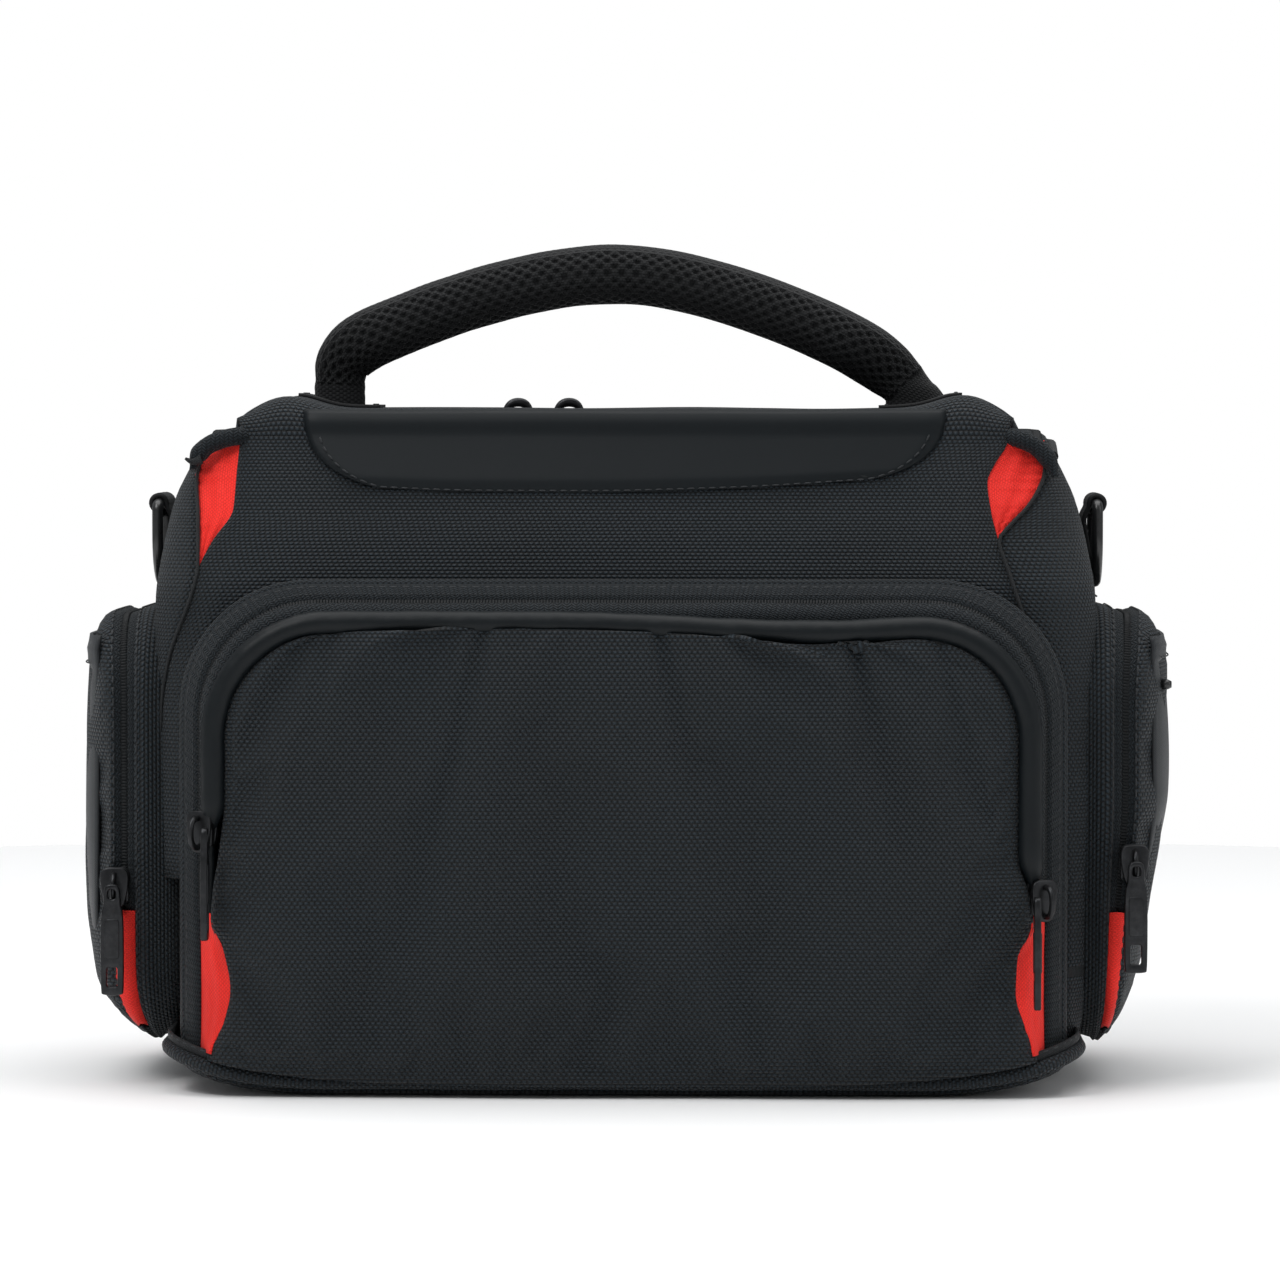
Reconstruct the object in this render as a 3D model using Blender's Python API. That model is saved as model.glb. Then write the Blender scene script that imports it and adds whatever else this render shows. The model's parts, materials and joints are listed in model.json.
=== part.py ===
"""Camera bag: a padded box with a lid hinged at the front, an arched front pocket and two side pockets.

The frame: +X is the bag's right as seen from the front, the front faces -Y, +Z is up, and the origin
is on the ground at the centre of the base.
"""
import math

import bmesh
import bpy
from mathutils import Matrix, Vector

# ---- Driving dimensions, in metres -------------------------------------------------------------
GAP = 0.0003            # clearance between pieces that touch on the real bag
ARC_STEPS = 6           # straight steps in each quarter-round corner

BASE_HALF_X = 0.1270
BASE_HALF_Y = 0.0695
BASE_THICK = 0.0080
BASE_CORNER = 0.0160
BASE_PIPING_R = 0.0025

WALL = 0.0080           # padded panel: cloth, foam and lining
SIDE_OUT = 0.1350       # outer face of the side walls
FRONT_Y = -0.0540
BACK_Y = 0.0700
BEND_Z = 0.1350         # above this height the side walls lean in
RIM_Z = 0.1850
RIM_OUT = 0.1225        # outer face of the side walls at the rim
FRONT_WALL_TOP = 0.1410
FLOOR_PAD = 0.0060

LID_HINGE_Z = 0.1435
LID_FRONT_TOP = (-0.0360, 0.1930)       # (y, z) of the lid front's upper outer edge
LID_FRONT_BOTTOM = (-0.0540, 0.1445)
LID_FRONT_HALF = (0.1150, 0.1070)       # half width at the bottom and at the top
LID_FRONT_THICK = 0.0070
LID_TOP_Z = (0.1866, 0.1905, 0.1940)    # heights of the lid's three outlines
LID_TOP_HALF = (0.1150, 0.1135, 0.1080)
LID_TOP_Y = (-0.0288, 0.0610)
LID_CORNER = 0.0200
TRIM_HALF = 0.0920
TRIM_DROP = 0.0240      # how far the trim panel reaches down the lid front
TRIM_THICK = 0.0014

TAPE = 0.0010           # zipper tape and coil, as one strip
ZIP_LINE_Y = 0.0642     # where the two halves of the lid zipper meet along the back

FRONT_BAND_HALF = 0.1220
FRONT_BAND_TOP = 0.1430
FRONT_BAND_RADIUS = 0.0340
FRONT_BAND_WIDTH = 0.0080
FRONT_BAND_FACE = -0.0615
FRONT_ZIP_HALF = 0.1186
FRONT_ZIP_TOP = 0.1390
FRONT_ZIP_BOTTOM = 0.0500
FRONT_ZIP_DEPTH = 0.0030
FLAP_HALF = 0.1109
FLAP_TOP = 0.1304
FLAP_RADIUS = 0.0290
FLAP_Y = (-0.0775, -0.0708)
FLAP_BOTTOM = 0.0105
PIPING_R = 0.0033
PIPING_Y = -0.0725
PIPING_END = 0.0600
FRONT_SLIDER_Z = (0.0750, 0.0560)       # left, right

SIDE_BAND_Y = 0.0450
SIDE_BAND_Z = (0.0130, 0.1350)
SIDE_BAND_RADIUS = 0.0260
SIDE_BAND_X = (0.1353, 0.1455)
SIDE_ZIP_BOTTOM = 0.0500
SIDE_FLAP_X = (0.1490, 0.1545)
SLIP_X = (0.1548, 0.1575)
SLIP_TOP = 0.1280
SIDE_SLIDER_X = 0.1440
SIDE_SLIDER_Z = (0.0570, 0.0640)        # left, right

HANDLE_PATH = (         # (x, z) of the grip's centre line
    (-0.0850, 0.2000), (-0.0848, 0.2065), (-0.0800, 0.2128), (-0.0700, 0.2175), (-0.0530, 0.2243),
    (-0.0340, 0.2297), (-0.0160, 0.2333), (0.0010, 0.2338), (0.0180, 0.2312), (0.0360, 0.2255),
    (0.0540, 0.2185), (0.0690, 0.2115), (0.0795, 0.2075), (0.0845, 0.2045), (0.0862, 0.2000))
HANDLE_Y = 0.0100
HANDLE_HALF_THICK = 0.0087
HANDLE_HALF_DEPTH = 0.0110
HANDLE_END_DEPTH = 0.0030
HANDLE_DEPTH_STEP = 0.0028              # the grip widens by this much at each point from its ends
HANDLE_SIDES = 12
FOOT_SIZE = (0.0300, 0.0240, 0.0012)

DIVIDER_X = 0.0450
DIVIDER_THICK = 0.0080
DIVIDER_TOP = 0.1300

SLIDER = (0.0120, 0.0080, 0.0040)       # length along the zipper, width, height
BAIL_HEIGHT = 0.0036
PULL = (0.0080, 0.0300, 0.0018)         # width, length, thickness
PULL_SLOT = (0.0036, 0.0070)
MAIN_SLIDER_X = (-0.0350, -0.0195)

RING_HALF_WIDTH = 0.0140
RING_DROP = 0.0230
RING_WIRE = 0.0016
RING_AT = (0.1396, 0.1665)              # (x, z) of the straight bar
RING_TAB_HALF = 0.0105

COLOURS = {             # colour, roughness, metallic
    "nylon": ((0.012, 0.013, 0.016, 1.0), 0.75, 0.0),
    "trim": ((0.010, 0.011, 0.013, 1.0), 0.55, 0.0),
    "mesh": ((0.010, 0.010, 0.012, 1.0), 0.85, 0.0),
    "tape": ((0.018, 0.022, 0.026, 1.0), 0.80, 0.0),
    "piping": ((0.008, 0.008, 0.009, 1.0), 0.50, 0.0),
    "red": ((0.80, 0.035, 0.025, 1.0), 0.70, 0.0),
    "webbing": ((0.010, 0.010, 0.012, 1.0), 0.80, 0.0),
    "metal": ((0.015, 0.015, 0.016, 1.0), 0.35, 0.9),
    "lining": ((0.080, 0.082, 0.086, 1.0), 0.85, 0.0),
}

PLANES = {              # local x, y and z of an outline, as world directions
    "XY": Matrix(((1, 0, 0), (0, 1, 0), (0, 0, 1))),
    "XZ": Matrix(((1, 0, 0), (0, 0, -1), (0, 1, 0))),
    "YZ": Matrix(((0, 0, 1), (1, 0, 0), (0, 1, 0))),
}


# ---- Helpers -----------------------------------------------------------------------------------
def clear_scene():
    for obj in list(bpy.data.objects):
        bpy.data.objects.remove(obj, do_unlink=True)


def collection(name):
    made = bpy.data.collections.new(name)
    bpy.context.scene.collection.children.link(made)
    return made


def material(name, kind):
    colour, roughness, metallic = COLOURS[kind]
    made = bpy.data.materials.new(name + "_finish")
    made.use_nodes = True
    shader = made.node_tree.nodes["Principled BSDF"]
    shader.inputs["Base Color"].default_value = colour
    shader.inputs["Roughness"].default_value = roughness
    shader.inputs["Metallic"].default_value = metallic
    return made


def link(name, data, kind, into):
    """A new object with its own finish."""
    obj = bpy.data.objects.new(name, data)
    data.materials.clear()
    data.materials.append(material(name, kind))
    into.objects.link(obj)
    return obj


def arc(centre, radius, start, end):
    """Points of a quarter arc, angles in degrees, both ends included."""
    points = []
    for step in range(ARC_STEPS + 1):
        angle = math.radians(start + (end - start) * step / ARC_STEPS)
        points.append((centre[0] + radius * math.cos(angle), centre[1] + radius * math.sin(angle)))
    return points


def arch(half, bottom, top, radius):
    """Outline from bottom right, over two round corners, to bottom left."""
    right = arc((half - radius, top - radius), radius, 0, 90)
    left = arc((radius - half, top - radius), radius, 90, 180)
    return [(half, bottom)] + right + left + [(-half, bottom)]


def arch_band(half, bottom, top, radius, width):
    """One closed outline round an arched strip that is open at the bottom."""
    outer = arch(half, bottom, top, radius)
    inner = arch(half - width, bottom, top - width, radius - width)
    return outer + inner[::-1]


def rounded(x0, x1, y0, y1, radius):
    """A rectangle with four round corners, anticlockwise."""
    return (arc((x1 - radius, y1 - radius), radius, 0, 90) + arc((x0 + radius, y1 - radius), radius, 90, 180)
            + arc((x0 + radius, y0 + radius), radius, 180, 270) + arc((x1 - radius, y0 + radius), radius, 270, 360))


def poly_spline(curve, points, closed):
    spline = curve.splines.new("POLY")
    spline.points.add(len(points) - 1)
    for target, point in zip(spline.points, points):
        target.co = (*point, 0.0, 1.0) if len(point) == 2 else (*point, 1.0)
    spline.use_cyclic_u = closed


def plate(name, outlines, plane, low, high, kind, into):
    """A flat piece: outlines in a world plane, filled and given thickness from low to high across it."""
    curve = bpy.data.curves.new(name, "CURVE")
    curve.dimensions = "2D"
    curve.fill_mode = "BOTH"
    curve.extrude = abs(high - low) / 2
    for outline in outlines:
        poly_spline(curve, outline, True)
    obj = link(name, curve, kind, into)
    turn = PLANES[plane]
    across = turn.col[2]
    middle = (low + high) / 2 * Vector([abs(value) for value in across])
    obj.matrix_world = Matrix.Translation(middle) @ turn.to_4x4()
    return obj


def tube(name, points, radius, closed, kind, into):
    """A round tube along points in space."""
    curve = bpy.data.curves.new(name, "CURVE")
    curve.dimensions = "3D"
    curve.bevel_depth = radius
    curve.bevel_resolution = 2
    curve.use_fill_caps = not closed
    poly_spline(curve, points, closed)
    return link(name, curve, kind, into)


def loft(name, rings, kind, into):
    """A closed skin over rings of equal length, capped at both ends."""
    work = bmesh.new()
    loops = [[work.verts.new(point) for point in ring] for ring in rings]
    work.faces.new(loops[0][::-1])
    work.faces.new(loops[-1])
    for lower, upper in zip(loops, loops[1:]):
        count = len(lower)
        for index in range(count):
            after = (index + 1) % count
            work.faces.new((lower[index], lower[after], upper[after], upper[index]))
    bmesh.ops.recalc_face_normals(work, faces=work.faces)
    mesh = bpy.data.meshes.new(name)
    work.to_mesh(mesh)
    work.free()
    return link(name, mesh, kind, into)


def to_mesh(obj, into):
    """The same piece as a welded mesh, which modifiers can cut."""
    view = bpy.context.evaluated_depsgraph_get()
    mesh = bpy.data.meshes.new_from_object(obj.evaluated_get(view))
    work = bmesh.new()
    work.from_mesh(mesh)
    bmesh.ops.remove_doubles(work, verts=work.verts, dist=0.000005)
    work.to_mesh(mesh)
    work.free()
    made = bpy.data.objects.new(obj.name, mesh)
    made.matrix_world = obj.matrix_world
    name = obj.name
    bpy.data.objects.remove(obj, do_unlink=True)
    made.name = name
    into.objects.link(made)
    return made


def combine(obj, tool, operation):
    """Boolean with a hidden tool object."""
    tool.hide_render = True
    tool.display_type = "WIRE"
    cut = obj.modifiers.new(operation.lower(), "BOOLEAN")
    cut.operation = operation
    cut.object = tool
    cut.solver = "EXACT"


# ---- Body --------------------------------------------------------------------------------------
def lean_x(z):
    """Outer face of a side wall at height z."""
    if z <= BEND_Z:
        return SIDE_OUT
    return SIDE_OUT + (RIM_OUT - SIDE_OUT) * (z - BEND_Z) / (RIM_Z - BEND_Z)


def wall_outline(top):
    """A front or back wall between the side walls, up to height top."""
    low = BASE_THICK + GAP
    inner = [(lean_x(z) - WALL - 2 * GAP, z) for z in (low, BEND_Z, top)]
    return inner + [(-x, z) for x, z in reversed(inner)]


def side_wall(side, parts, cutters):
    low = BASE_THICK + GAP
    outline = [(SIDE_OUT, low), (SIDE_OUT, BEND_Z), (RIM_OUT, RIM_Z)]
    outline += [(x - WALL, z) for x, z in reversed(outline)]
    name = "side_wall_" + side_name(side)
    wall = plate(name, [[(side * x, z) for x, z in outline]], "XZ", FRONT_Y, BACK_Y, "nylon", parts)
    wall = to_mesh(wall, parts)
    slope_y = LID_FRONT_TOP[0] - LID_FRONT_BOTTOM[0]
    slope_z = LID_FRONT_TOP[1] - LID_FRONT_BOTTOM[1]
    reach = 2.0
    corner = [LID_FRONT_BOTTOM, (LID_FRONT_BOTTOM[0] + reach * slope_y, LID_FRONT_BOTTOM[1] + reach * slope_z),
              (LID_FRONT_BOTTOM[0] - WALL, LID_FRONT_BOTTOM[1] + reach * slope_z),
              (LID_FRONT_BOTTOM[0] - WALL, LID_FRONT_BOTTOM[1])]
    low_x, high_x = sorted((side * 0.1, side * (SIDE_OUT + WALL)))
    tool = plate("cut_" + name, [corner], "YZ", low_x, high_x, "nylon", cutters)
    combine(wall, to_mesh(tool, cutters), "DIFFERENCE")


def side_name(side):
    return "left" if side < 0 else "right"


def body(parts, cutters):
    base = rounded(-BASE_HALF_X, BASE_HALF_X, -BASE_HALF_Y, BASE_HALF_Y, BASE_CORNER)
    plate("base_panel", [base], "XY", 0.0, BASE_THICK, "nylon", parts)
    grow = BASE_PIPING_R + GAP
    path = rounded(-BASE_HALF_X - grow, BASE_HALF_X + grow, -BASE_HALF_Y - grow, BASE_HALF_Y + grow,
                   BASE_CORNER + grow)
    height = BASE_THICK - BASE_PIPING_R
    tube("base_piping", [(x, y, height) for x, y in path], BASE_PIPING_R, True, "piping", parts)
    plate("front_wall", [wall_outline(FRONT_WALL_TOP)], "XZ", FRONT_Y, FRONT_Y + WALL, "nylon", parts)
    plate("back_wall", [wall_outline(RIM_Z)], "XZ", BACK_Y - WALL, BACK_Y, "nylon", parts)
    inside_x = SIDE_OUT - WALL - 2 * GAP
    pad = rounded(-inside_x, inside_x, FRONT_Y + WALL + GAP, BACK_Y - WALL - GAP, 0.004)
    floor = BASE_THICK + GAP
    plate("floor_pad", [pad], "XY", floor, floor + FLOOR_PAD, "lining", parts)
    for side in (-1, 1):
        side_wall(side, parts, cutters)
    front = LID_FRONT_TOP[0] + 0.004
    rim_in = RIM_OUT - WALL / 2 + GAP
    rim = [(RIM_OUT, front), (RIM_OUT, BACK_Y), (-RIM_OUT, BACK_Y), (-RIM_OUT, front),
           (-rim_in, front), (-rim_in, ZIP_LINE_Y + GAP), (rim_in, ZIP_LINE_Y + GAP), (rim_in, front)]
    plate("rim_zip_body", [rim], "XY", RIM_Z + GAP, RIM_Z + GAP + TAPE, "tape", parts)
    for side in (-1, 1):
        divider(side, parts)


def divider(side, parts):
    low = FRONT_Y + WALL + 3 * GAP
    high = BACK_Y - WALL - 3 * GAP
    floor = BASE_THICK + FLOOR_PAD + 4 * GAP
    outline = rounded(low, high, floor, DIVIDER_TOP, 0.010)
    middle = side * DIVIDER_X
    half = DIVIDER_THICK / 2
    plate("divider_" + side_name(side), [outline], "YZ", middle - half, middle + half, "lining", parts)


# ---- Lid ---------------------------------------------------------------------------------------
def slope_matrix():
    """Local x along X, local y up the lid front, local z out of it, from its lower outer edge."""
    up = Vector((0.0, LID_FRONT_TOP[0] - LID_FRONT_BOTTOM[0], LID_FRONT_TOP[1] - LID_FRONT_BOTTOM[1]))
    up.normalize()
    along = Vector((1.0, 0.0, 0.0))
    out = along.cross(up)
    turn = Matrix((along, up, out)).transposed().to_4x4()
    return Matrix.Translation((0.0, *LID_FRONT_BOTTOM)) @ turn


def slope_length():
    return math.hypot(LID_FRONT_TOP[0] - LID_FRONT_BOTTOM[0], LID_FRONT_TOP[1] - LID_FRONT_BOTTOM[1])


def on_slope(name, outline, low, high, kind, into):
    """A plate in the plane of the lid front, between low and high above its face."""
    obj = plate(name, [outline], "XY", low, high, kind, into)
    obj.matrix_world = slope_matrix() @ Matrix.Translation((0.0, 0.0, (low + high) / 2))
    return obj


def lid(parts):
    bottom, top = LID_FRONT_HALF
    length = slope_length()
    outline = [(bottom, 0.0), (top, length), (-top, length), (-bottom, 0.0)]
    on_slope("lid_front", outline, -LID_FRONT_THICK, 0.0, "nylon", parts)
    reach = length - 0.0005
    smile = [(TRIM_HALF, reach), (-TRIM_HALF, reach)]
    steps = 12
    for step in range(steps + 1):
        across = -1 + 2 * step / steps
        drop = TRIM_DROP * (1 - across ** 6)
        smile.append((across * TRIM_HALF * 0.995, reach - 0.002 - drop))
    on_slope("lid_trim_panel", smile, GAP, GAP + TRIM_THICK, "trim", parts)
    rings = []
    for z, half in zip(LID_TOP_Z, LID_TOP_HALF):
        shrink = LID_TOP_HALF[0] - half
        outline = rounded(-half, half, LID_TOP_Y[0], LID_TOP_Y[1] - shrink, LID_CORNER)
        rings.append([(x, y, z) for x, y in outline])
    loft("lid_top", rings, "nylon", parts)
    front = LID_TOP_Y[0] + 0.002
    edge = RIM_OUT - WALL / 2 - GAP
    inner = edge - 0.0060
    tape = [(edge, front), (edge, ZIP_LINE_Y - GAP), (-edge, ZIP_LINE_Y - GAP), (-edge, front),
            (-inner, front), (-inner, ZIP_LINE_Y - 0.0065), (inner, ZIP_LINE_Y - 0.0065), (inner, front)]
    plate("lid_zip_half", [tape], "XY", RIM_Z + GAP, RIM_Z + GAP + TAPE, "tape", parts)
    for side in (-1, 1):
        lid_gusset(side, parts)
        foot(side, parts)
    handle(parts)


def lid_gusset(side, parts):
    """Red triangle between the lid front and the side wall, under the zipper's end."""
    length = slope_length()
    bottom, top = LID_FRONT_HALF
    clear = 0.0008
    low_v = 0.0060
    high_v = length - 0.0115
    low_u = bottom + (top - bottom) * low_v / length + clear
    high_u = bottom + (top - bottom) * high_v / length + clear
    outline = [(low_u, low_v), (RIM_OUT - 0.0015, high_v), (high_u, high_v)]
    on_slope("lid_gusset_" + side_name(side), [(side * u, v) for u, v in outline], GAP, GAP + 0.0012,
             "red", parts)


def foot(side, parts):
    end = HANDLE_PATH[0] if side < 0 else HANDLE_PATH[-1]
    half_x = FOOT_SIZE[0] / 2
    half_y = FOOT_SIZE[1] / 2
    outline = rounded(end[0] - half_x, end[0] + half_x, HANDLE_Y - half_y, HANDLE_Y + half_y, 0.003)
    low = LID_TOP_Z[2] + GAP
    plate("handle_foot_" + side_name(side), [outline], "XY", low, low + FOOT_SIZE[2], "webbing", parts)


def handle(parts):
    """The padded grip: an oval section along its path, flat and narrow at both ends."""
    path = [Vector((x, z)) for x, z in HANDLE_PATH]
    count = len(path)
    rings = []
    for index, centre in enumerate(path):
        before = path[max(index - 1, 0)]
        after = path[min(index + 1, count - 1)]
        along = (after - before).normalized()
        across = Vector((-along.y, along.x))
        from_end = min(index, count - 1 - index)
        depth = min(HANDLE_HALF_DEPTH, HANDLE_END_DEPTH + from_end * HANDLE_DEPTH_STEP)
        thick = HANDLE_HALF_THICK
        if from_end == 0:
            across = Vector((1.0, 0.0)) if index else Vector((-1.0, 0.0))
            thick = HANDLE_HALF_THICK - 0.001
        ring = []
        for side in range(HANDLE_SIDES):
            angle = 2 * math.pi * side / HANDLE_SIDES
            offset = across * (thick * math.cos(angle))
            ring.append((centre.x + offset.x, HANDLE_Y + depth * math.sin(angle), centre.y + offset.y))
        rings.append(ring)
    loft("handle_grip", rings, "mesh", parts)


# ---- Front pocket ------------------------------------------------------------------------------
def front_pocket(parts):
    low = BASE_THICK + GAP
    band = arch_band(FRONT_BAND_HALF, low, FRONT_BAND_TOP, FRONT_BAND_RADIUS, FRONT_BAND_WIDTH)
    plate("front_pocket_band", [band], "XZ", FRONT_BAND_FACE, FRONT_Y - GAP, "nylon", parts)
    strip = arch_band(FRONT_ZIP_HALF, FRONT_ZIP_BOTTOM, FRONT_ZIP_TOP, FRONT_BAND_RADIUS - 0.003, 0.0075)
    back = FRONT_BAND_FACE - GAP
    plate("front_zip_body", [strip], "XZ", back - FRONT_ZIP_DEPTH, back, "tape", parts)
    back -= FRONT_ZIP_DEPTH + GAP
    plate("front_zip_flap", [strip], "XZ", back - FRONT_ZIP_DEPTH, back, "tape", parts)
    flap = arch(FLAP_HALF, FLAP_BOTTOM, FLAP_TOP, FLAP_RADIUS)
    plate("front_flap_panel", [flap], "XZ", FLAP_Y[0], FLAP_Y[1], "nylon", parts)
    grow = PIPING_R + GAP
    path = arch(FLAP_HALF + grow, PIPING_END, FLAP_TOP + grow, FLAP_RADIUS + grow)
    tube("front_flap_piping", [(x, PIPING_Y, z) for x, z in path], PIPING_R, False, "piping", parts)
    for side in (-1, 1):
        near, far = FRONT_ZIP_HALF - 0.0075, FRONT_ZIP_HALF
        top = FRONT_ZIP_BOTTOM - 2 * GAP
        outline = [(near, FLAP_BOTTOM), (near + 0.002, FLAP_BOTTOM), (far, 0.5 * top), (far, top), (near, top)]
        plate("front_gusset_" + side_name(side), [[(side * x, z) for x, z in outline]], "XZ",
              FRONT_BAND_FACE - GAP - 0.0012, FRONT_BAND_FACE - GAP, "red", parts)


# ---- Side pockets ------------------------------------------------------------------------------
def side_span(side, low, high):
    return sorted((side * low, side * high))


def side_pocket(side, parts):
    name = side_name(side)
    low, high = SIDE_BAND_Z
    outer = rounded(-SIDE_BAND_Y, SIDE_BAND_Y, low, high, SIDE_BAND_RADIUS)
    inset = 0.0060
    inner = rounded(-SIDE_BAND_Y + inset, SIDE_BAND_Y - inset, low + inset, high - inset,
                    SIDE_BAND_RADIUS - inset)
    band_low, band_high = side_span(side, *SIDE_BAND_X)
    plate("side_pocket_band_" + name, [outer, inner], "YZ", band_low, band_high, "nylon", parts)
    strip = arch_band(SIDE_BAND_Y - 0.0005, SIDE_ZIP_BOTTOM, high - 0.0005, SIDE_BAND_RADIUS, 0.0055)
    start = SIDE_BAND_X[1] + GAP
    for part_name in ("side_zip_body_", "side_zip_flap_"):
        plate(part_name + name, [strip], "YZ", *side_span(side, start, start + 0.0012), "tape", parts)
        start += 0.0012 + GAP
    flap = rounded(-SIDE_BAND_Y + 0.001, SIDE_BAND_Y - 0.001, low + 0.001, high - 0.001, SIDE_BAND_RADIUS)
    plate("side_flap_" + name, [flap], "YZ", *side_span(side, *SIDE_FLAP_X), "nylon", parts)
    slip = rounded(-SIDE_BAND_Y + 0.003, SIDE_BAND_Y - 0.003, low + 0.004, SLIP_TOP, SIDE_BAND_RADIUS - 0.004)
    plate("side_slip_pocket_" + name, [slip], "YZ", *side_span(side, *SLIP_X), "nylon", parts)
    for place, front in (("front", -1), ("back", 1)):
        edge = SIDE_BAND_Y - 0.0005
        outline = [(edge, SIDE_BAND_Z[0] + SIDE_BAND_RADIUS), (edge, SIDE_ZIP_BOTTOM - GAP),
                   (edge - 0.005, SIDE_ZIP_BOTTOM - GAP), (edge - 0.005, SIDE_BAND_Z[0] + SIDE_BAND_RADIUS)]
        gusset_low = SIDE_BAND_X[1] + GAP
        plate("side_gusset_" + place + "_" + name, [[(front * y, z) for y, z in outline]], "YZ",
              *side_span(side, gusset_low, gusset_low + 0.0012), "red", parts)


# ---- Zipper sliders and their pull tabs --------------------------------------------------------
def slider(name, at, along, out, parts, cutters):
    """A slider at a place on the zipper, with its bail on the outer face."""
    length, width, height = SLIDER
    across = Vector(out).cross(Vector(along))
    turn = Matrix((Vector(along), across, Vector(out))).transposed().to_4x4()
    place = Matrix.Translation(at) @ turn
    outline = rounded(-length / 2, length / 2, -width / 2, width / 2, 0.0025)
    block = plate(name, [outline], "XY", 0.0, height, "metal", parts)
    block.matrix_world = place @ Matrix.Translation((0.0, 0.0, height / 2))
    block = to_mesh(block, parts)
    foot_depth = 0.001
    ring = arch_band(0.0044, height - foot_depth, height + BAIL_HEIGHT, 0.0024, 0.0011)
    bail = plate("bail_" + name, [ring], "XZ", 0.0, 0.0022, "metal", cutters)
    bail.matrix_world = place @ Matrix.Translation((0.0, 0.0, 0.0)) @ PLANES["XZ"].to_4x4()
    combine(block, to_mesh(bail, cutters), "UNION")


def pull(name, at, down, normal, parts):
    """A pull tab that hangs from its pivot, with a slot near its free end."""
    width, length, thick = PULL
    across = Vector(down).cross(Vector(normal))
    turn = Matrix((across, Vector(down), Vector(normal))).transposed().to_4x4()
    outline = rounded(-width / 2, width / 2, 0.0, length, 0.0020)
    slot_width, slot_length = PULL_SLOT
    end = length - 0.0035
    slot = rounded(-slot_width / 2, slot_width / 2, end - slot_length, end, 0.0008)
    tab = plate(name, [outline, slot], "XY", -thick / 2, thick / 2, "metal", parts)
    tab.matrix_world = Matrix.Translation(at) @ turn


def zippers(parts, cutters):
    down = (0.0, 0.0, -1.0)
    seat = RIM_Z + 2 * GAP + TAPE
    half_width = SLIDER[1] / 2
    reach = SLIDER[2] + BAIL_HEIGHT
    for side, x in zip((-1, 1), MAIN_SLIDER_X):
        name = side_name(side)
        centre_y = ZIP_LINE_Y + GAP + half_width
        slider("main_slider_" + name, (x, centre_y, seat), (1.0, 0.0, 0.0), (0.0, 0.0, 1.0), parts, cutters)
        pivot = (x, centre_y + half_width + 0.0025, seat + 0.0035)
        pull("main_pull_" + name, pivot, down, (0.0, 1.0, 0.0), parts)
    for side, z in zip((-1, 1), FRONT_SLIDER_Z):
        name = side_name(side)
        zip_y = FRONT_BAND_FACE - FRONT_ZIP_DEPTH - 2 * GAP - half_width
        start = FRONT_ZIP_HALF + 2 * GAP
        slider("front_slider_" + name, (side * start, zip_y, z), (0.0, 0.0, 1.0), (side, 0.0, 0.0), parts, cutters)
        pivot = (side * (start + 0.0012), zip_y - half_width - PULL[0] / 2 - 0.001, z)
        pull("front_pull_" + name, pivot, down, (side, 0.0, 0.0), parts)
    for side, z in zip((-1, 1), SIDE_SLIDER_Z):
        name = side_name(side)
        start = -SIDE_BAND_Y - 2 * GAP
        slider("side_slider_" + name, (side * SIDE_SLIDER_X, start, z), (0.0, 0.0, 1.0), (0.0, -1.0, 0.0),
               parts, cutters)
        pull("side_pull_" + name, (side * SIDE_SLIDER_X, start - reach - 0.0015, z), down, (0.0, -1.0, 0.0), parts)


# ---- D-rings -----------------------------------------------------------------------------------
def d_ring(side, parts):
    name = side_name(side)
    x, z = RING_AT
    radius = RING_HALF_WIDTH
    steps = 2 * ARC_STEPS
    outline = [(-radius, 0.0), (radius, 0.0)]
    for step in range(steps + 1):
        angle = math.pi * step / steps
        outline.append((radius * math.cos(angle), -(RING_DROP - radius) - radius * math.sin(angle)))
    tube("d_ring_" + name, [(side * x, y, z + down) for y, down in outline], RING_WIRE, True, "metal", parts)
    bar = RING_WIRE + 0.0006
    strap = 0.0016
    wall_low = lean_x(BEND_Z) + GAP
    outer = [(wall_low, BEND_Z + 0.002), (lean_x(z - 0.004) + GAP + 0.0005, z - 0.004)]
    wrap = []
    for step in range(9):
        angle = math.radians(200 - 250 * step / 8)
        wrap.append((x + (bar + strap) * math.cos(angle), z + (bar + strap) * math.sin(angle)))
    back = []
    for step in range(9):
        angle = math.radians(-50 + 250 * step / 8)
        back.append((x + bar * math.cos(angle), z + bar * math.sin(angle)))
    inner = [(lean_x(z - 0.006) + GAP + 0.0005 + strap, z - 0.006), (wall_low + strap, BEND_Z + 0.002)]
    outline = [(side * u, v) for u, v in outer + wrap + back + inner]
    plate("d_ring_tab_" + name, [outline], "XZ", -RING_TAB_HALF, RING_TAB_HALF, "webbing", parts)


def main():
    clear_scene()
    parts = collection("camera_bag")
    cutters = collection("cutters")
    body(parts, cutters)
    lid(parts)
    front_pocket(parts)
    for side in (-1, 1):
        side_pocket(side, parts)
        d_ring(side, parts)
    zippers(parts, cutters)


main()
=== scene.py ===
"""Looks of the camera bag: sewn nylon panels, zippers, padded flaps, the mesh handle and the lining.

Shapes are worked out in millimetres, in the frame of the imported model, and turned into metres when
a mesh is made. Every cloth piece carries a UV map named "cloth", measured in metres, so that each
weave keeps its real size.
"""
import json
import math

import bmesh
import bpy
import numpy as np
from mathutils import Matrix, Vector, noise


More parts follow.
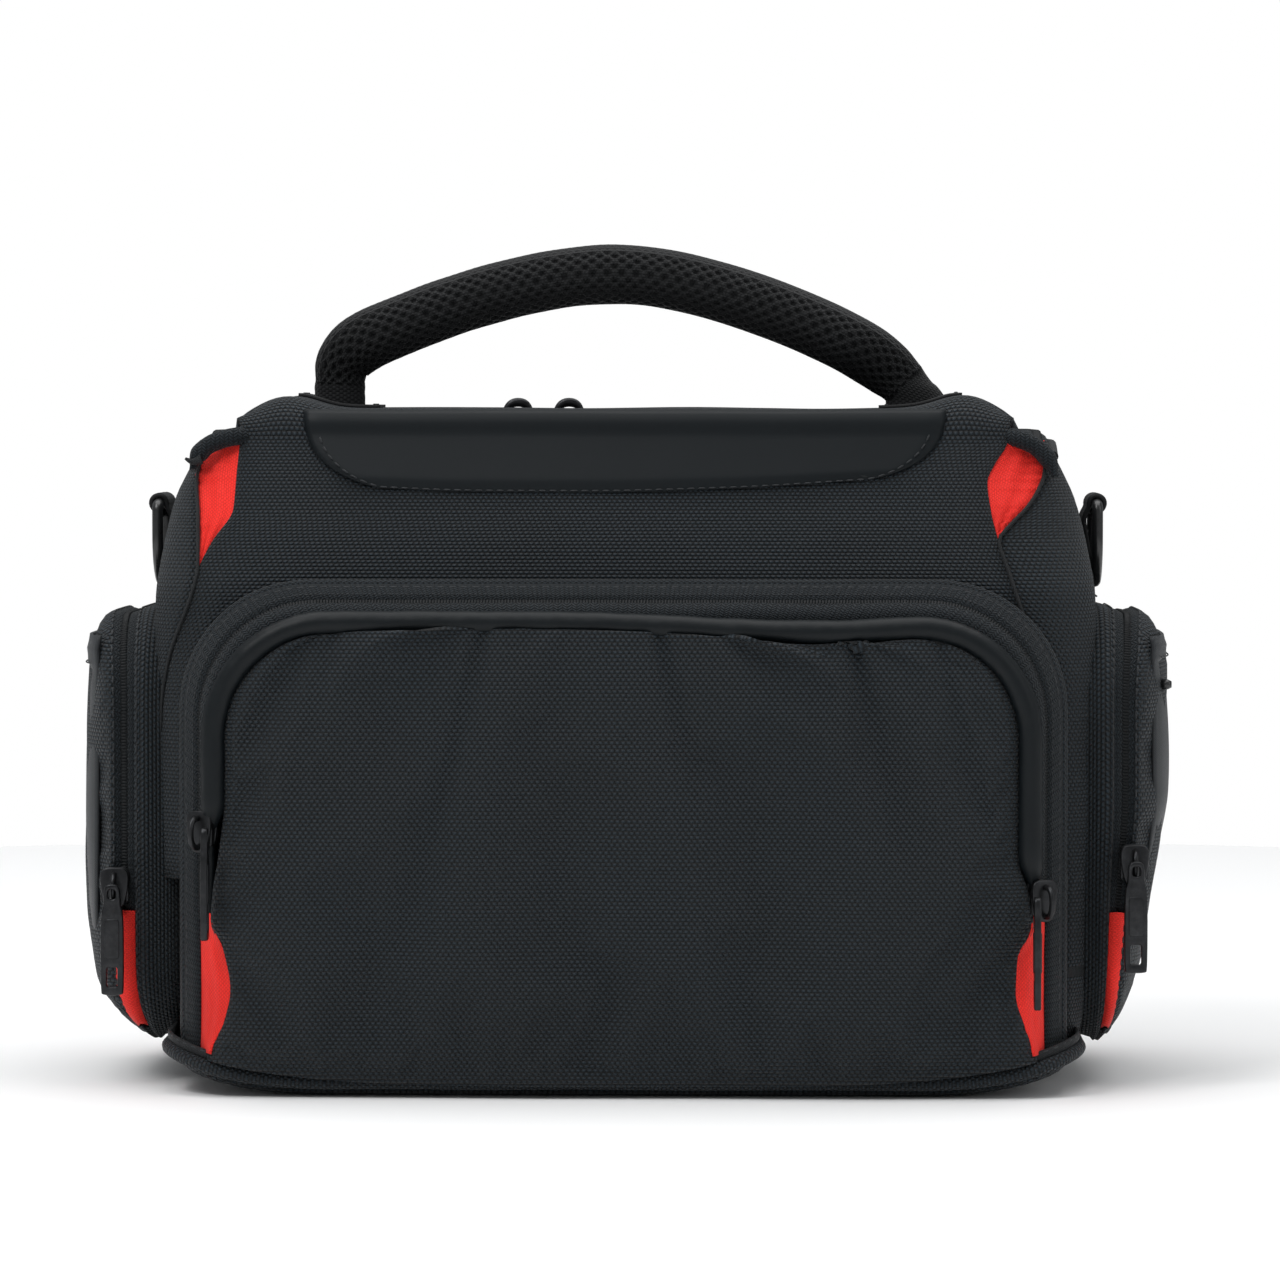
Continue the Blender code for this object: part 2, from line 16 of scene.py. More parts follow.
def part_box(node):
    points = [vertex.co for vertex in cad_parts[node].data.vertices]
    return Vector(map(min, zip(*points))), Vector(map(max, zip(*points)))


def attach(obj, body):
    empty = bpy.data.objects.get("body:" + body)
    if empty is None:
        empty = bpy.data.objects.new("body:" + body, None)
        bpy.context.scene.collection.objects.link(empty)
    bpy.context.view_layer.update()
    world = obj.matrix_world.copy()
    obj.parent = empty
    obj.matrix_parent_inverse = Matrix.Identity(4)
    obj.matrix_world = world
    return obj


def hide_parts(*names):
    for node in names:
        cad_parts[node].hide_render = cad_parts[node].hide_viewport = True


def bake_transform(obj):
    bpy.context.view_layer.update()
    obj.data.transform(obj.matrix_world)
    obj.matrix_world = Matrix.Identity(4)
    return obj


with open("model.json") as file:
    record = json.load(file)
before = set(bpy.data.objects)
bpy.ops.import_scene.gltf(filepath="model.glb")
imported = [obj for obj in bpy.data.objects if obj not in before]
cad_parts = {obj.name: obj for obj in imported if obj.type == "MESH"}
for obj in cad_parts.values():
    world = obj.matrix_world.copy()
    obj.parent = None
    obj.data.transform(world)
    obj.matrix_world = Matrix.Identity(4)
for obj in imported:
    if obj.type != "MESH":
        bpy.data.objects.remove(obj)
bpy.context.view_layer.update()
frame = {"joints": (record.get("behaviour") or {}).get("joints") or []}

MM = 0.001
CLOTH_MAP = "cloth"
SIDES = (("left", -1), ("right", 1))


def box_mm(node):
    low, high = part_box(node)
    return [value / MM for value in low], [value / MM for value in high]


# ---- Node materials ----------------------------------------------------------------------------
class Finish:
    """A Principled material and short calls that add nodes to it."""

    def __init__(self, name, colour, roughness, metallic=0.0, sheen=0.0, specular=0.5):
        self.material = bpy.data.materials.new(name)
        self.material.use_nodes = True
        self.tree = self.material.node_tree
        self.shader = self.tree.nodes["Principled BSDF"]
        self.colour = colour
        self.set("Base Color", (*colour, 1.0))
        self.set("Roughness", roughness)
        self.set("Metallic", metallic)
        self.set("Sheen Weight", sheen)
        self.set("Specular IOR Level", specular)

    def set(self, socket, value):
        self.shader.inputs[socket].default_value = value

    def node(self, kind, inputs=(), **settings):
        made = self.tree.nodes.new(kind)
        for key, value in settings.items():
            setattr(made, key, value)
        for key, value in dict(inputs).items():
            self.plug(value, made.inputs[key])
        return made

    def plug(self, value, socket):
        if isinstance(value, bpy.types.NodeSocket):
            self.tree.links.new(value, socket)
        else:
            socket.default_value = value

    def math(self, operation, *values):
        made = self.tree.nodes.new("ShaderNodeMath")
        made.operation = operation
        for index, value in enumerate(values):
            self.plug(value, made.inputs[index])
        return made.outputs[0]

    def cloth(self, turn=0.0):
        """Cloth coordinates in metres, turned by an angle in degrees: (along, up)."""
        place = self.node("ShaderNodeUVMap", uv_map=CLOTH_MAP).outputs["UV"]
        if turn:
            rotated = self.node("ShaderNodeVectorRotate", {"Vector": place, "Angle": math.radians(turn)},
                                rotation_type="Z_AXIS")
            place = rotated.outputs[0]
        split = self.node("ShaderNodeSeparateXYZ", {"Vector": place})
        return split.outputs["X"], split.outputs["Y"]

    def noise(self, scale, detail=3.0, roughness=0.55):
        """Noise over the object's own space; scale is the size of a patch in millimetres."""
        place = self.node("ShaderNodeTexCoord").outputs["Object"]
        made = self.node("ShaderNodeTexNoise", {"Vector": place, "Scale": 1.0 / (scale * MM),
                                                "Detail": detail, "Roughness": roughness})
        return made.outputs[0]

    def span(self, value, low, high):
        """A value from 0 to 1, spread between low and high."""
        return self.math("MULTIPLY_ADD", value, high - low, low)

    def shade(self, factor):
        """Base colour times a factor that varies over the surface."""
        tint = self.node("ShaderNodeVectorMath", operation="SCALE")
        tint.inputs[0].default_value = self.colour
        self.plug(factor, tint.inputs["Scale"])
        self.tree.links.new(tint.outputs[0], self.shader.inputs["Base Color"])

    def rough(self, value):
        self.plug(value, self.shader.inputs["Roughness"])

    def relief(self, *layers):
        """Bumps from (height, depth in millimetres, strength), coarse ones first."""
        normal = None
        for height, depth, strength in layers:
            bump = self.node("ShaderNodeBump",
                             {"Height": height, "Distance": depth * MM, "Strength": strength})
            if normal:
                self.tree.links.new(normal, bump.inputs["Normal"])
            normal = bump.outputs[0]
        self.tree.links.new(normal, self.shader.inputs["Normal"])

    def cell(self, value, pitch):
        """(whole cells, place inside the cell from 0 to 1) of a length in metres."""
        counted = self.math("DIVIDE", value, pitch * MM)
        return self.math("FLOOR", counted), self.math("FRACT", counted)

    def hump(self, place, power=1.0):
        """A rounded bump over each cell."""
        wave = self.math("SINE", self.math("MULTIPLY", place, math.pi))
        return wave if power == 1.0 else self.math("POWER", wave, power)

    def bricks(self, across, along, turn=0.0, power=0.7):
        """Height of a weave of offset bricks: across and along are one brick's pitch in millimetres."""
        u, v = self.cloth(turn)
        column, in_column = self.cell(u, across)
        odd = self.math("FRACT", self.math("MULTIPLY", column, 0.5))
        shifted = self.math("ADD", self.math("DIVIDE", v, along * MM), odd)
        in_row = self.math("FRACT", shifted)
        return self.math("MULTIPLY", self.hump(in_column, power), self.hump(in_row, power))

    def ribs(self, pitch, turn=0.0, power=1.0, upright=False):
        u, v = self.cloth(turn)
        return self.hump(self.cell(u if upright else v, pitch)[1], power)


def woven(name, colour, across, along, depth, roughness=0.58, sheen=0.06, turn=0.0, contrast=0.60,
          specular=0.28):
    """Cloth of offset bricks whose colour carries painted light: broad lighter and darker patches of painted
    sheen, and raised threads painted lighter than the gaps.
    """
    made = Finish(name, colour, roughness, sheen=sheen, specular=specular)
    height = made.bricks(across, along, turn)
    # broad patches painted lighter and darker into the colour: painted sheen; they also vary roughness and
    # bumps
    painted_sheen_patches = made.noise(38.0)
    threads = made.noise(0.35, 2.0)
    # raised threads painted lighter and the gaps between them darker: painted highlights and painted shade of
    # the weave
    raised = made.math("POWER", height, 1.5)
    light = made.math("MULTIPLY", made.span(raised, 1.0 - contrast, 1.0 + 1.6 * contrast),
                      made.span(painted_sheen_patches, 0.70, 1.30))
    made.shade(made.math("MULTIPLY", light, made.span(threads, 0.75, 1.25)))
    made.rough(made.span(painted_sheen_patches, roughness - 0.08, roughness + 0.10))
    made.relief((painted_sheen_patches, 0.5, 0.25), (height, depth, 1.0), (threads, 0.06, 0.5))
    made.set("Sheen Roughness", 0.45)
    return made.material


def make_finishes():
    finishes = {}
    finishes["nylon"] = woven("ballistic_nylon", (0.0058, 0.0096, 0.0130), 1.10, 1.60, 0.66, turn=90.0,
                              contrast=0.95)
    finishes["fine_nylon"] = woven("fine_nylon", (0.0120, 0.0150, 0.0180), 0.55, 0.70, 0.10, roughness=0.46,
                                   contrast=0.35, specular=0.36)
    finishes["red"] = woven("red_nylon", (0.80, 0.030, 0.022), 0.55, 1.10, 0.10, roughness=0.60, sheen=0.05,
                            contrast=0.14, specular=0.15)
    finishes["binding"] = woven("edge_binding", (0.0075, 0.0090, 0.0105), 0.45, 0.60, 0.10, contrast=0.35)

    tape = Finish("zipper_tape", (0.0075, 0.0105, 0.0130), 0.68, sheen=0.05, specular=0.16)
    u, v = tape.cloth()
    rows, in_row = tape.cell(u, 1.30)
    lean = tape.math("MULTIPLY", tape.math("SUBTRACT", tape.math("FRACT", tape.math("MULTIPLY", rows, 0.5)),
                                           0.25), 4.0)
    slanted = tape.math("ADD", tape.math("DIVIDE", v, 0.9 * MM), tape.math("MULTIPLY", lean, in_row))
    twill = tape.math("MULTIPLY", tape.hump(tape.math("FRACT", slanted)), tape.hump(in_row, 0.5))
    worn = tape.noise(25.0)
    tape.shade(tape.math("MULTIPLY", tape.span(twill, 0.25, 1.95), tape.span(worn, 0.80, 1.20)))
    tape.relief((twill, 0.34, 1.0), (tape.noise(0.4, 2.0), 0.05, 0.5))
    finishes["tape"] = tape.material

    trim = Finish("smooth_trim", (0.0042, 0.0064, 0.0080), 0.50, specular=0.20)
    grain = trim.noise(0.9, 4.0, 0.65)
    cloudy = trim.noise(45.0)
    trim.shade(trim.math("MULTIPLY", trim.span(grain, 0.92, 1.08), trim.span(cloudy, 0.88, 1.12)))
    trim.rough(trim.span(cloudy, 0.46, 0.58))
    trim.relief((cloudy, 0.6, 0.25), (grain, 0.05, 0.45))
    finishes["trim"] = trim.material

    piping = Finish("smooth_piping", (0.0048, 0.0068, 0.0082), 0.46, specular=0.20)
    crease = piping.noise(7.0, 3.0)
    skin = piping.noise(0.5, 2.0)
    piping.shade(piping.span(crease, 0.82, 1.18))
    piping.rough(piping.span(crease, 0.40, 0.54))
    piping.relief((crease, 0.7, 0.35), (skin, 0.04, 0.4))
    finishes["piping"] = piping.material

    mesh = Finish("spacer_mesh", (0.0070, 0.0076, 0.0084), 0.72, sheen=0.08, specular=0.2)
    knit = mesh.bricks(1.00, 1.25, 0.0, 0.8)
    lint = mesh.noise(12.0)
    mesh.shade(mesh.math("MULTIPLY", mesh.span(knit, 0.45, 1.5), mesh.span(lint, 0.8, 1.2)))
    mesh.relief((knit, 0.25, 0.8), (mesh.noise(0.3, 2.0), 0.06, 0.5))
    finishes["mesh"] = mesh.material

    webbing = Finish("webbing", (0.0080, 0.0090, 0.0102), 0.66, sheen=0.06, specular=0.25)
    rib = webbing.math("MULTIPLY", webbing.ribs(1.4, upright=True), webbing.ribs(0.8, power=0.6))
    webbing.shade(webbing.math("MULTIPLY", webbing.span(rib, 0.55, 1.4),
                               webbing.span(webbing.noise(20.0), 0.85, 1.15)))
    webbing.relief((rib, 0.25, 0.8), (webbing.noise(0.3, 2.0), 0.05, 0.4))
    finishes["webbing"] = webbing.material

    coil = Finish("zipper_coil", (0.0050, 0.0062, 0.0072), 0.50, specular=0.2)
    coil.shade(coil.span(coil.noise(6.0), 0.8, 1.25))
    coil.relief((coil.noise(0.5, 2.0), 0.03, 0.4))
    finishes["coil"] = coil.material

    thread = Finish("thread", (0.0150, 0.0175, 0.0200), 0.55, sheen=0.1, specular=0.3)
    thread.shade(thread.span(thread.noise(9.0), 0.6, 1.5))
    thread.relief((thread.noise(0.18, 2.0), 0.04, 0.6))
    finishes["thread"] = thread.material

    metal = Finish("black_plated_zinc", (0.0300, 0.0310, 0.0330), 0.33, metallic=0.85)
    scuffs = metal.noise(3.0, 5.0, 0.7)
    metal.shade(metal.span(metal.math("POWER", scuffs, 3.0), 0.7, 3.0))
    metal.rough(metal.span(scuffs, 0.24, 0.46))
    metal.relief((scuffs, 0.06, 0.35))
    finishes["metal"] = metal.material

    ring = Finish("black_painted_steel", (0.0100, 0.0105, 0.0110), 0.28, specular=0.6)
    chips = ring.noise(2.2, 5.0, 0.7)
    ring.shade(ring.span(ring.math("POWER", chips, 4.0), 0.8, 3.0))
    ring.rough(ring.span(chips, 0.20, 0.40))
    ring.relief((chips, 0.05, 0.3))
    finishes["ring"] = ring.material

    lining = Finish("brushed_lining", (0.090, 0.094, 0.102), 0.85, sheen=0.5, specular=0.2)
    nap = lining.noise(0.8, 4.0, 0.7)
    brushed = lining.noise(16.0)
    lining.shade(lining.math("MULTIPLY", lining.span(nap, 0.70, 1.30), lining.span(brushed, 0.85, 1.15)))
    lining.relief((brushed, 0.6, 0.3), (nap, 0.25, 0.7))
    finishes["lining"] = lining.material

    hook = Finish("loop_edge", (0.020, 0.021, 0.023), 0.85, sheen=0.3, specular=0.2)
    loops = hook.bricks(0.9, 0.9, 30.0)
    hook.shade(hook.span(loops, 0.5, 1.5))
    hook.relief((loops, 0.3, 0.9), (hook.noise(0.4, 3.0), 0.15, 0.7))
    finishes["hook"] = hook.material

    floor = Finish("studio_floor", (0.93, 0.93, 0.93), 0.75, specular=0.1)
    floor.shade(floor.span(floor.noise(300.0), 0.99, 1.01))
    finishes["floor"] = floor.material
    return finishes


FINISHES = make_finishes()


# ---- Numbers and outlines ----------------------------------------------------------------------
def between(keys, at):
    """Smooth curve through (place, value) pairs, with no overshoot."""
    places = [key[0] for key in keys]
    values = [key[1] for key in keys]
    if at <= places[0]:
        return values[0]
    if at >= places[-1]:
        return values[-1]
    index = max(i for i, place in enumerate(places) if place <= at)
    slopes = [(values[i + 1] - values[i]) / (places[i + 1] - places[i]) for i in range(len(keys) - 1)]

    def tangent(i):
        if i == 0 or i == len(keys) - 1:
            return slopes[0] if i == 0 else slopes[-1]
        before, after = slopes[i - 1], slopes[i]
        return 0.0 if before * after <= 0 else 2 * before * after / (before + after)

    width = places[index + 1] - places[index]
    t = (at - places[index]) / width
    start, end = values[index], values[index + 1]
    lean_in, lean_out = tangent(index) * width, tangent(index + 1) * width
    return (start * (2 * t ** 3 - 3 * t ** 2 + 1) + lean_in * (t ** 3 - 2 * t ** 2 + t)
            + end * (3 * t ** 2 - 2 * t ** 3) + lean_out * (t ** 3 - t ** 2))


def ease(t):
    t = min(max(t, 0.0), 1.0)
    return t * t * (3 - 2 * t)


def ripple(x, y, z, size):
    """Smooth noise between -1 and 1 whose waves are about size millimetres long."""
    return noise.noise(Vector((x, y, z)) / size)


def resample(points, count, closed=False):
    """The same route with evenly spaced points."""
    route = [Vector(point) for point in points]
    if closed:
        route.append(route[0])
    lengths = [0.0]
    for before, after in zip(route, route[1:]):
        lengths.append(lengths[-1] + (after - before).length)
    made = []
    index = 0
    steps = count if closed else count - 1
    for step in range(count):
        target = lengths[-1] * step / steps
        while index < len(route) - 2 and lengths[index + 1] < target:
            index += 1
        part = lengths[index + 1] - lengths[index]
        made.append(route[index].lerp(route[index + 1], (target - lengths[index]) / part if part else 0.0))
    return made


def smooth_route(points, rounds=2, closed=False):
    """Corner cutting, so that a few given points make a soft curve."""
    route = [Vector(point) for point in points]
    for _ in range(rounds):
        made = [] if closed else [route[0]]
        pairs = list(zip(route, route[1:] + route[:1])) if closed else list(zip(route, route[1:]))
        for before, after in pairs:
            made += [before.lerp(after, 0.25), before.lerp(after, 0.75)]
        if not closed:
            made.append(route[-1])
        route = made
    return route


def arch_route(half, bottom, top, radius, count):
    """Evenly spaced (x, z) points from bottom left, up and over, to bottom right."""
    points = [(-half, bottom, 0.0)]
    for centre, start in ((radius - half, 180.0), (half - radius, 90.0)):
        for step in range(13):
            angle = math.radians(start - 90.0 * step / 12)
            points.append((centre + radius * math.cos(angle), top - radius + radius * math.sin(angle), 0.0))
    points.append((half, bottom, 0.0))
    return [(point.x, point.y) for point in resample(points, count)]


def rounded_loop(x0, x1, y0, y1, radius, count):
    points = []
    for centre_x, centre_y, start in ((x1 - radius, y1 - radius, 0), (x0 + radius, y1 - radius, 90),
                                      (x0 + radius, y0 + radius, 180), (x1 - radius, y0 + radius, 270)):
        for step in range(9):
            angle = math.radians(start + 90.0 * step / 8)
            points.append((centre_x + radius * math.cos(angle), centre_y + radius * math.sin(angle), 0.0))
    return [(point.x, point.y) for point in resample(points, count, closed=True)]


# ---- Making pieces -----------------------------------------------------------------------------
def piece(name, vertices, faces, finish, body, slot_name, uvs=None, smooth=True, keep_flat=40.0):
    """A mesh piece from millimetre points. uvs holds one (u, v) in millimetres for each face corner."""
    mesh = bpy.data.meshes.new(name)
    mesh.from_pydata([tuple(value * MM for value in point) for point in vertices], [], faces)
    mesh.materials.append(FINISHES[finish])
    if uvs is not None:
        layer = mesh.uv_layers.new(name=CLOTH_MAP)
        layer.data.foreach_set("uv", (np.array(uvs, dtype=np.float32) * MM).ravel())
    if smooth:
        mesh.shade_smooth()
        if keep_flat:
            mesh.set_sharp_from_angle(angle=math.radians(keep_flat))
    obj = bpy.data.objects.new(name, mesh)
    bpy.context.scene.collection.objects.link(obj)
    if body:
        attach(obj, body)
    return obj


def grid_faces(rows, columns, closed):
    """Quads of a grid, and each face corner's (row, column), with column == columns at a closed seam."""
    faces = []
    corners = []
    for row in range(rows - 1):
        for column in range(columns if closed else columns - 1):
            after = (column + 1) % columns
            faces.append((row * columns + column, row * columns + after,
                          (row + 1) * columns + after, (row + 1) * columns + column))
            corners += [(row, column), (row, column + 1), (row + 1, column + 1), (row + 1, column)]
    return faces, corners


def grid(name, rows, finish, body, slot_name, closed=False, skip=None, flip=False, **more):
    """A cloth surface from rows of points. Its cloth map follows the mean lengths along and across."""
    points = np.array([[tuple(point) for point in row] for row in rows])
    count_rows, count_columns = points.shape[:2]
    wrap = np.concatenate([points, points[:, :1]], axis=1) if closed else points
    across = np.concatenate([[0.0], np.cumsum(np.linalg.norm(np.diff(wrap, axis=1), axis=2).mean(axis=0))])
    along = np.concatenate([[0.0], np.cumsum(np.linalg.norm(np.diff(points, axis=0), axis=2).mean(axis=1))])
    faces, corners = grid_faces(count_rows, count_columns, closed)
    uvs = [(across[column], along[row]) for row, column in corners]
    if skip:
        kept = [index for index, face in enumerate(faces)
                if not skip(points.reshape(-1, 3)[list(face)].mean(axis=0))]
        uvs = [uvs[4 * index + corner] for index in kept for corner in range(4)]
        faces = [faces[index] for index in kept]
    if flip:
        faces = [face[::-1] for face in faces]
        uvs = [uvs[4 * index + corner] for index in range(len(faces)) for corner in (3, 2, 1, 0)]
    return piece(name, points.reshape(-1, 3), faces, finish, body, slot_name, uvs, **more)


def planar_map(obj):
    """Cloth map by each face's main direction, for pieces whose skin isn't one grid."""
    mesh = obj.data
    layer = mesh.uv_layers.get(CLOTH_MAP) or mesh.uv_layers.new(name=CLOTH_MAP)
    for face in mesh.polygons:
        normal = [abs(value) for value in face.normal]
        axis = normal.index(max(normal))
        keep = [index for index in range(3) if index != axis]
        for loop in face.loop_indices:
            point = mesh.vertices[mesh.loops[loop].vertex_index].co
            layer.data[loop].uv = (point[keep[0]], point[keep[1]])


def modify(obj, kind, **settings):
    made = obj.modifiers.new(kind.lower(), kind)
    for key, value in settings.items():
        setattr(made, key, value)
    return made


def settle(obj):
    """Applies the modifiers, so that the mesh is final."""
    bpy.context.view_layer.update()
    view = bpy.context.evaluated_depsgraph_get()
    old = obj.data
    obj.data = bpy.data.meshes.new_from_object(obj.evaluated_get(view))
    obj.modifiers.clear()
    if not old.users:
        bpy.data.meshes.remove(old)
    return obj


def thicken(obj, thickness, offset=-1.0, inner=None):
    """Gives a surface its cloth thickness in millimetres; inner is the finish of its hidden face."""
    solid = modify(obj, "SOLIDIFY", thickness=thickness * MM, offset=offset, use_even_offset=False)
    if inner:
        obj.data.materials.append(FINISHES[inner])
        solid.material_offset = 1
        solid.material_offset_rim = 0
    return settle(obj)


def fill_holes(obj):
    """Closes every open edge loop of a piece, and turns its faces outward."""
    work = bmesh.new()
    work.from_mesh(obj.data)
    bmesh.ops.holes_fill(work, edges=work.edges)
    bmesh.ops.recalc_face_normals(work, faces=work.faces)
    work.to_mesh(obj.data)
    work.free()


def say_sheet(rows):
    """Turns the rows into metres; nothing more is done with them."""
    rows = [[Vector(point) * MM for point in row] for row in rows]


def sweep(name, route, section, finish, body, slot_name, closed=False, up=(0.0, 1.0, 0.0), caps=True,
          **more):
    """A skin along a route. section(place) gives (side, up) points at a place from 0 to 1."""
    count = len(route)
    path = [Vector(point) for point in route]
    rows = []
    for index, centre in enumerate(path):
        before = path[(index - 1) % count] if closed else path[max(index - 1, 0)]
        after = path[(index + 1) % count] if closed else path[min(index + 1, count - 1)]
        along = (after - before).normalized()
        side = along.cross(Vector(up)).normalized()
        top = side.cross(along).normalized()
        rows.append([centre + side * s + top * t for s, t in section(index / max(count - 1, 1))])
    size = len(rows[0])
    if closed:
        rows.append(rows[0])
    obj = grid(name, rows, finish, None, None, closed=True, flip=True, **more)
    work = bmesh.new()
    work.from_mesh(obj.data)
    work.verts.ensure_lookup_table()
    if caps and not closed:
        work.faces.new([work.verts[index] for index in range(size)])
        work.faces.new([work.verts[index] for index in range(size * (count - 1), size * count)][::-1])
    bmesh.ops.remove_doubles(work, verts=work.verts, dist=0.000001)
    bmesh.ops.recalc_face_normals(work, faces=work.faces)
    work.to_mesh(obj.data)
    work.free()
    if body:
        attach(obj, body)
    return obj


def oval(wide, high, sides=16, power=1.0):
    """Points of an oval, or of a rounded box when power is below 1."""
    made = []
    for step in range(sides):
        angle = 2 * math.pi * step / sides
        cosine, sine = math.cos(angle), math.sin(angle)
        made.append((wide * math.copysign(abs(cosine) ** power, cosine),
                     high * math.copysign(abs(sine) ** power, sine)))
    return made


def stitches(name, route, body, out, pitch=3.4, length=2.3, thick=0.32, finish="thread",
             slot_name="shell_nylon",
             closed=False):
    """A row of sewn stitches along a route. out is the surface's outward direction, or one for each point."""
    path = [Vector(point) for point in route]
    if closed:
        path.append(path[0])
    total = sum((b - a).length for a, b in zip(path, path[1:]))
    count = max(2, int(total / pitch))
    places = resample(path, count * 4 + 1)
    vertices = []
    faces = []
    for index in range(count):
        middle = places[4 * index + 2]
        along = (places[4 * index + 3] - places[4 * index + 1]).normalized()
        normal = Vector(out(middle) if callable(out) else out).normalized()
        side = along.cross(normal).normalized()
        start = len(vertices)
        for reach, size in ((-0.5, 0.25), (-0.3, 1.0), (0.3, 1.0), (0.5, 0.25)):
            centre = middle + along * (length * reach) - normal * (0.10 if size < 1 else 0.0)
            for turn in range(6):
                angle = math.pi * turn / 3
                vertices.append(centre + (side * math.cos(angle) + normal * math.sin(angle)) * thick * size)
        for ring in range(3):
            for turn in range(6):
                after = (turn + 1) % 6
                faces.append((start + ring * 6 + turn, start + ring * 6 + after,
                              start + ring * 6 + 6 + after, start + ring * 6 + 6 + turn))
        faces.append(tuple(start + turn for turn in range(6))[::-1])
        faces.append(tuple(start + 18 + turn for turn in range(6)))
    obj = piece(name, vertices, faces, finish, body, slot_name, keep_flat=0.0)
    planar_map(obj)
    return obj


# ---- Camera, light and floor -------------------------------------------------------------------
ROOM_LIGHT = 0.36
FLOOR_RADIUS = 0.9
CAMERA_DISTANCE = 1.690         # from the bag's centre
CAMERA_HEIGHT = 0.195
CAMERA_AROUND = 1.5             # degrees round the bag, towards its right side
CAMERA_DOWN = 2.33
PLANE_PER_PIXEL = 0.28 * MM     # size of a picture point at the front pocket


def make_camera():
    data = bpy.data.cameras.new("camera")
    data.sensor_width = 36.0
    picture_width = 1280
    front = CAMERA_DISTANCE - 0.075
    data.lens = data.sensor_width * front / (PLANE_PER_PIXEL * picture_width)
    around = math.radians(CAMERA_AROUND)
    camera = bpy.data.objects.new("camera", data)
    camera.location = (CAMERA_DISTANCE * math.sin(around), -CAMERA_DISTANCE * math.cos(around),
                       CAMERA_HEIGHT)
    aside = math.radians(0.12)
    camera.rotation_euler = (math.radians(90.0 - CAMERA_DOWN), 0.0, around - aside)
    data.clip_start = 0.05
    bpy.context.scene.collection.objects.link(camera)
    bpy.context.scene.camera = camera


def area_light(name, at, size, energy, aim=(0.0, 0.0, 0.10)):
    data = bpy.data.lights.new(name, "AREA")
    data.shape = "RECTANGLE"
    data.size, data.size_y = size
    data.energy = energy
    light = bpy.data.objects.new(name, data)
    light.location = at
    light.rotation_euler = (Vector(aim) - Vector(at)).to_track_quat("-Z", "Y").to_euler()
    bpy.context.scene.collection.objects.link(light)


def make_studio():
    """White studio: the camera sees a white world, the bag is lit by a dimmer one and by lights."""
    world = bpy.data.worlds.new("studio")
    world.use_nodes = True
    tree = world.node_tree
    seen = tree.nodes["Background"]
    seen.inputs["Color"].default_value = (1.0, 1.0, 1.0, 1.0)
    seen.inputs["Strength"].default_value = 1.0
    room = tree.nodes.new("ShaderNodeBackground")
    room.inputs["Color"].default_value = (0.96, 0.98, 1.0, 1.0)
    room.inputs["Strength"].default_value = ROOM_LIGHT
    rays = tree.nodes.new("ShaderNodeLightPath")
    choice = tree.nodes.new("ShaderNodeMixShader")
    tree.links.new(rays.outputs["Is Camera Ray"], choice.inputs[0])
    tree.links.new(room.outputs[0], choice.inputs[1])
    tree.links.new(seen.outputs[0], choice.inputs[2])
    tree.links.new(choice.outputs[0], tree.nodes["World Output"].inputs["Surface"])
    bpy.context.scene.world = world
    bpy.context.scene.view_settings.view_transform = "Standard"
    mesh = bpy.data.meshes.new("studio_floor")
    work = bmesh.new()
    bmesh.ops.create_circle(work, cap_ends=True, segments=96, radius=FLOOR_RADIUS)
    work.to_mesh(mesh)
    work.free()
    mesh.materials.append(FINISHES["floor"])
    floor = bpy.data.objects.new("studio_floor", mesh)
    bpy.context.scene.collection.objects.link(floor)
    area_light("overhead", (0.0, 0.1, 1.9), (2.4, 2.0), 34.0)
    area_light("key", (-0.9, -1.1, 1.6), (0.8, 0.7), 15.0)
    area_light("fill", (1.6, -0.8, 0.9), (0.9, 1.2), 4.0)


# ---- Body shape --------------------------------------------------------------------------------
RIM_Z = box_mm("rim_zip_body")[0][2]
BODY_HALF = ((7, 124.0), (12, 128.4), (19, 131.4), (45, 134.2), (110, 135.6), (140, 135.0), (156, 132.8),
             (168, 129.8),
             (176, 126.0), (182, 122.8), (187, 120.5))
BODY_FRONT = ((8, -57.0), (60, -56.0), (140, -54.8), (150, -52.2), (187, -38.4))
BODY_BACK = ((8, 70.5), (60, 72.4), (140, 72.0), (175, 70.6), (187, 69.2))
FRONT_CORNER = ((8, 20), (80, 22), (140, 21), (165, 17), (187, 13))
BACK_CORNER = ((8, 18), (100, 18), (187, 12))
SEAM_LEFT = ((60, -133.4), (107, -132.4), (122, -130.0), (142, -122.6), (148.5, -121.2), (164, -121.6),
             (174, -122.6), (187, -119.5))
SEAM_RIGHT = ((60, 126.0), (90, 122.5), (116, 118.9), (128, 116.0), (138, 112.6), (148.5, 109.2),
              (157, 106.6),
              (161.3, 110.3), (168, 116.4), (177, 120.2), (187, 119.5))
LID_EDGE_LEFT = ((142, -122.6), (148.5, -121.0), (156.6, -117.0), (165.5, -111.4), (175.5, -110.8),
                 (187, -110.0))
LID_EDGE_RIGHT = ((138, 112.6), (148.5, 109.2), (157, 106.4), (165.6, 104.4), (173, 103.6), (179, 106.2),
                  (184, 109.4), (187, 110.0))


def plan(z, count=240):
    """Closed outline of the body at height z, from the middle of the front, towards +X."""
    half, front, back = between(BODY_HALF, z), between(BODY_FRONT, z), between(BODY_BACK, z)
    near, far = between(FRONT_CORNER, z), between(BACK_CORNER, z)
    corners = ((half - near, front + near, near, 270), (half - far, back - far, far, 0),
               (far - half, back - far, far, 90), (near - half, front + near, near, 180))
    points = [(0.0, front, z)]
    for x, y, radius, start in corners:
        for step in range(13):
            angle = math.radians(start + 90 * step / 12)
            points.append((x + radius * math.cos(angle), y + radius * math.sin(angle), z))
    return resample(points, count, closed=True)


